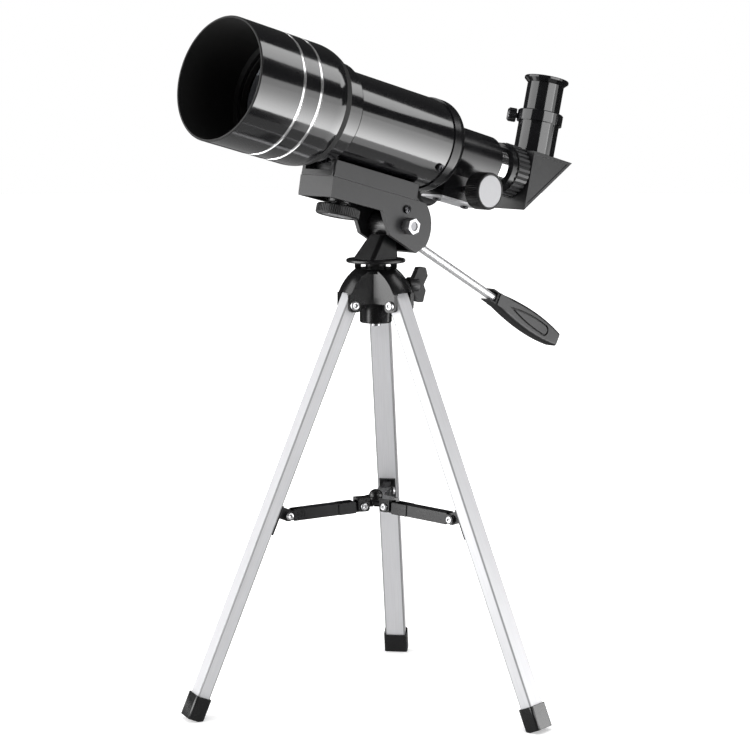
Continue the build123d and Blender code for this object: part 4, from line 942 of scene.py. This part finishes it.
class TELESCOPE_OT_add_arm_cheeks(bpy.types.Operator):
    """Carry the sides of the spreader arms on to the hub, on the tongues that slide in them"""

    bl_idname = "telescope.add_arm_cheeks"
    bl_label = "Add Arm Cheeks"

    def execute(self, context):
        metal = context.scene.metal_look
        wall = metal.cheek_wall
        start = metal.cheek_start
        for number in leg_numbers:
            hub_pin, pin = joint_point("tongue_fold_" + number), joint_axis("tongue_fold_" + number)
            along = (joint_point("arm_fold_" + number) - hub_pin).normalized()
            rise = along.cross(pin)
            finish = frame["nodes"]["spreader_arm_" + number].material_slots[0].material
            corners = [corner - hub_pin for corner in corners_of("spreader_arm_" + number)]
            end = min(corner.dot(along) for corner in corners) + metal.cheek_lap
            out = max(corner.dot(pin) for corner in corners) + metal.cheek_gap + wall / 2
            tall = max(corner.dot(rise) for corner in corners)
            side_wall = ((end - start) / 2, wall / 2, tall)
            end_wall = (wall / 3, out, tall - metal.cheek_gap)
            for place, middle, halves in (
                (1, along * (start + end) / 2 - pin * out, side_wall),
                (3, along * (start + end) / 2 + pin * out, side_wall),
                (2, along * (start + wall / 2), end_wall),
            ):
                name = f"arm_cheek_{number}_{place}"
                cheek = plate_piece(name, hub_pin + middle, (along, pin, rise), halves)
                cheek.data.materials.append(finish)
                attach(cheek, "tongue_" + number)
        return {"FINISHED"}


class TELESCOPE_OT_round_edges(bpy.types.Operator):
    """Round the moulded and turned edges a little"""

    bl_idname = "telescope.round_edges"
    bl_label = "Round Edges"

    def execute(self, context):
        plastic = context.scene.moulded_look
        soften(plastic.wide_round, "mounting_shoe", "tilt_platform", "diagonal_housing", "pan_base")
        soften(plastic.wide_round, "tripod_crown", "wing_knob")
        soften(plastic.fine_round, "tilt_nut", "knob_discs", "spreader_hub")
        for number in leg_numbers:
            soften(plastic.cap_round, "foot_" + number, "spreader_arm_" + number, "arm_tongue_" + number)
        return {"FINISHED"}


def face(piece, place, target):
    """Put a lamp or a sheet in its place and turn it to a target."""
    piece.location = place
    piece.rotation_euler = (Vector(target) - Vector(place)).to_track_quat("-Z", "Y").to_euler()


def lamp(name, place, target, size, watts):
    """A soft box that the camera doesn't see."""
    data = bpy.data.lights.new(name, "AREA")
    data.shape = "RECTANGLE"
    data.size, data.size_y = size
    data.energy = watts
    made = bpy.data.objects.new(name, data)
    made.visible_camera = False
    bpy.context.scene.collection.objects.link(made)
    face(made, place, target)
    return made


def sheet(name, mesh, finish):
    """A stage piece from a given mesh."""
    made = mesh_piece(name, mesh)
    made.data.materials.append(finish.material)
    return made


def only_reflected(piece):
    """Let a sheet be seen in reflections alone."""
    for rays in ("camera", "diffuse", "shadow", "transmission", "volume_scatter"):
        setattr(piece, "visible_" + rays, False)


def glowing(name, brightness):
    """A black surface with an even glow."""
    made = Finish(name)
    made.set(Base_Color=(0.0, 0.0, 0.0), Roughness=1.0, Specular_IOR_Level=0.0)
    made.set(Emission_Color=(brightness, brightness, brightness), Emission_Strength=1.0)
    return made


def glow(name, place, target, corners, lower, upper):
    """A sheet that glows in reflections alone, from one level at its foot to another at its top."""
    made = glowing(name, upper)
    low, high = (end(corner[1] for corner in corners) for end in (min, max))
    height = aim(made.tree, "DOT_PRODUCT", surface(made.tree), (0, 1, 0))
    made.set(Emission_Color=ramp(made.tree, height, low, high, lower, upper))
    mesh = bmesh.new()
    mesh.faces.new([mesh.verts.new((*corner, 0.0)) for corner in corners])
    piece = sheet(name, mesh, made)
    face(piece, place, target)
    only_reflected(piece)


# Rings of the floor by their inner and outer radius, and how far the floor and its flags lie below the feet.
under_stand = (0.001, 0.28)
near_stand = (0.28, 1.15)
far_floor = (1.15, 4.1)
floor_drop = 0.0003
flag_drop = 0.0001


def floor_cells(rings, windows):
    """A flat mesh of ring cells on the floor, left open between the angles of a ring's windows."""
    mesh = bmesh.new()
    steps = 90
    for step in range(steps):
        first, second = (math.radians(360 / steps * edge - 180) for edge in (step, step + 1))
        middle = math.degrees((first + second) / 2)
        for ring in rings:
            if any(low < middle < high for low, high in windows.get(ring, ())):
                continue
            near, far = ring
            corners = [(near, first), (far, first), (far, second), (near, second)]
            mesh.faces.new([
                mesh.verts.new((reach * math.cos(turn), reach * math.sin(turn), -flag_drop))
                for reach, turn in corners
            ])
    return mesh


def seen_rays(tree):
    """One for rays of the camera, reflections and glass."""
    path = tree.nodes.new("ShaderNodeLightPath").outputs
    total = calc(tree, "ADD", path["Is Camera Ray"], path["Is Glossy Ray"])
    return calc(tree, "ADD", total, path["Is Transmission Ray"], clamp=True)


def photo_camera(scene, studio):
    """The camera at the viewing angle of the photo."""
    back = Vector((
        math.sin(studio.turn) * math.cos(studio.rise),
        -math.cos(studio.turn) * math.cos(studio.rise),
        math.sin(studio.rise),
    ))
    data = bpy.data.cameras.new("Photo camera")
    data.lens = studio.focal
    data.sensor_width = 36.0
    data.shift_x = studio.shift
    data.clip_start, data.clip_end = 0.01, 50.0
    camera = bpy.data.objects.new("Photo camera", data)
    camera.location = up * studio.aim + back * studio.distance
    camera.rotation_mode = "QUATERNION"
    camera.rotation_quaternion = (-back).to_track_quat("-Z", "Y")
    scene.collection.objects.link(camera)
    scene.camera = camera


def white_world(scene, fill):
    """A world that looks white and lights the object with a softer fill."""
    world = bpy.data.worlds.new("White studio")
    world.use_nodes = True
    scene.world = world
    tree = world.node_tree
    strength = ramp(tree, seen_rays(tree), 0.0, 1.0, fill, 1.0)
    feed(tree, tree.nodes["Background"], Color=(1, 1, 1), Strength=strength)


def pale_floor():
    """A floor that keeps the shadow near the stand and looks white further off."""
    made = Finish("Pale floor")
    tree = made.tree
    speck = ramp(tree, cloud(tree, surface(tree), scale=60.0), 0.3, 0.7, 0.985, 1.0)
    made.set(Base_Color=scaled(tree, (0.9, 0.9, 0.9), speck), Roughness=0.9, Specular_IOR_Level=0.1)
    place = effect(tree, "Axis place")
    far = ramp(tree, place["Radius"], 0.25, 0.75, 0.45, 1.0)
    made.set(Emission_Color=calc(tree, "MULTIPLY", far, seen_rays(tree)), Emission_Strength=1.0)
    mesh = bmesh.new()
    level_below = Matrix.Translation(up * -floor_drop)
    bmesh.ops.create_circle(mesh, cap_ends=True, segments=96, radius=6.0, matrix=level_below)
    sheet("Floor", mesh, made)


class TELESCOPE_OT_set_stage(bpy.types.Operator):
    """Set the camera, the soft boxes, the flags and the pale floor"""

    bl_idname = "telescope.set_stage"
    bl_label = "Set Stage"

    def execute(self, context):
        scene = context.scene
        studio = scene.studio_setup
        scene.view_settings.view_transform = "Standard"
        photo_camera(scene, studio)
        white_world(scene, studio.fill)
        pale_floor()

        flag = glowing("Black flag", studio.flag)
        dome = bmesh.new()
        bmesh.ops.create_uvsphere(dome, u_segments=48, v_segments=24, radius=4.0)
        below = [vertex for vertex in dome.verts if vertex.co.z < -0.01]
        bmesh.ops.delete(dome, geom=below, context="VERTS")
        only_reflected(sheet("Overhead flag", dome, flag))
        windows = {near_stand: ((-178, -85), (26, 62), (120, 170))}
        only_reflected(sheet("Floor flag", floor_cells((near_stand, far_floor), windows), flag))
        windows = {near_stand: ((-180, 118), (172, 180))}
        card = glowing("Grey card", studio.card)
        only_reflected(sheet("Grey card", floor_cells((under_stand, near_stand), windows), card))

        side, rear = studio.side_box, studio.rear_strip
        box = [(-0.275, -0.25), (0.275, -0.25), (0.275, 0.25), (-0.275, 0.25)]
        glow("Side box", (0.42, 0.30, 0.15), (0, -0.06, 0.42), box, side, side / 3)
        strip = [(-0.275, -0.18), (-0.06, -0.18), (0.10, 0.18), (-0.275, 0.18)]
        glow("Rear strip", (0.20, 0.66, 0.86), (0, -0.08, 0.42), strip, rear, rear)

        # Three of the soft boxes are for reflections alone, and the one above gives none.
        for name, place, target, size, watts, unseen in (
            ("Low wall", (0.97, 0.70, 0.27), (0.04, -0.05, 0.40), (0.5, 0.54), studio.low_wall, "diffuse"),
            ("Right box", (1.35, 0.12, 0.64), (0, 0.15, 0.44), (1.25, 0.42), studio.right_box, "diffuse"),
            ("Left bounce", (-0.45, -0.95, 0.18), (0, 0, 0.2), (1.1, 0.5), studio.left_bounce, "diffuse"),
            ("Front box", (-1.05, -1.45, 0.95), (0, 0, 0.3), (2.2, 1.5), studio.front_box, "camera"),
            ("Top box", (0.3, -0.2, 1.7), (0, 0, 0.2), (1.2, 1.2), studio.top_box, "glossy"),
        ):
            setattr(lamp(name, place, target, size, watts), "visible_" + unseen, False)
        return {"FINISHED"}


class TELESCOPE_PT_sidebar(bpy.types.Panel):
    """Finishes and stage of the telescope"""

    bl_idname = "TELESCOPE_PT_sidebar"
    bl_label = "Telescope"
    bl_space_type = "VIEW_3D"
    bl_region_type = "UI"
    bl_category = "Telescope"

    def draw(self, context):
        for operator in operators:
            self.layout.operator(operator.bl_idname)
        for name in settings:
            box = self.layout.box()
            group = getattr(context.scene, name)
            for key in group.__annotations__:
                box.prop(group, key)


settings = {
    "tube_look": TubeLook,
    "moulded_look": MouldedLook,
    "metal_look": MetalLook,
    "studio_setup": StudioSetup,
}
operators = (
    TELESCOPE_OT_finish_tube,
    TELESCOPE_OT_finish_focuser,
    TELESCOPE_OT_finish_eyepiece,
    TELESCOPE_OT_finish_head,
    TELESCOPE_OT_finish_tripod,
    TELESCOPE_OT_add_rivet_heads,
    TELESCOPE_OT_add_screw_heads,
    TELESCOPE_OT_add_ribs,
    TELESCOPE_OT_add_arm_cheeks,
    TELESCOPE_OT_round_edges,
    TELESCOPE_OT_set_stage,
)
classes = (*settings.values(), *operators, TELESCOPE_PT_sidebar)


def register():
    for entry in classes:
        bpy.utils.register_class(entry)
    for name, group in settings.items():
        setattr(bpy.types.Scene, name, PointerProperty(type=group))


def unregister():
    for name in settings:
        delattr(bpy.types.Scene, name)
    for entry in reversed(classes):
        bpy.utils.unregister_class(entry)


def main():
    register()
    for operator in operators:
        getattr(bpy.ops.telescope, operator.bl_idname.split(".")[1])()


if __name__ == "__main__":
    main()
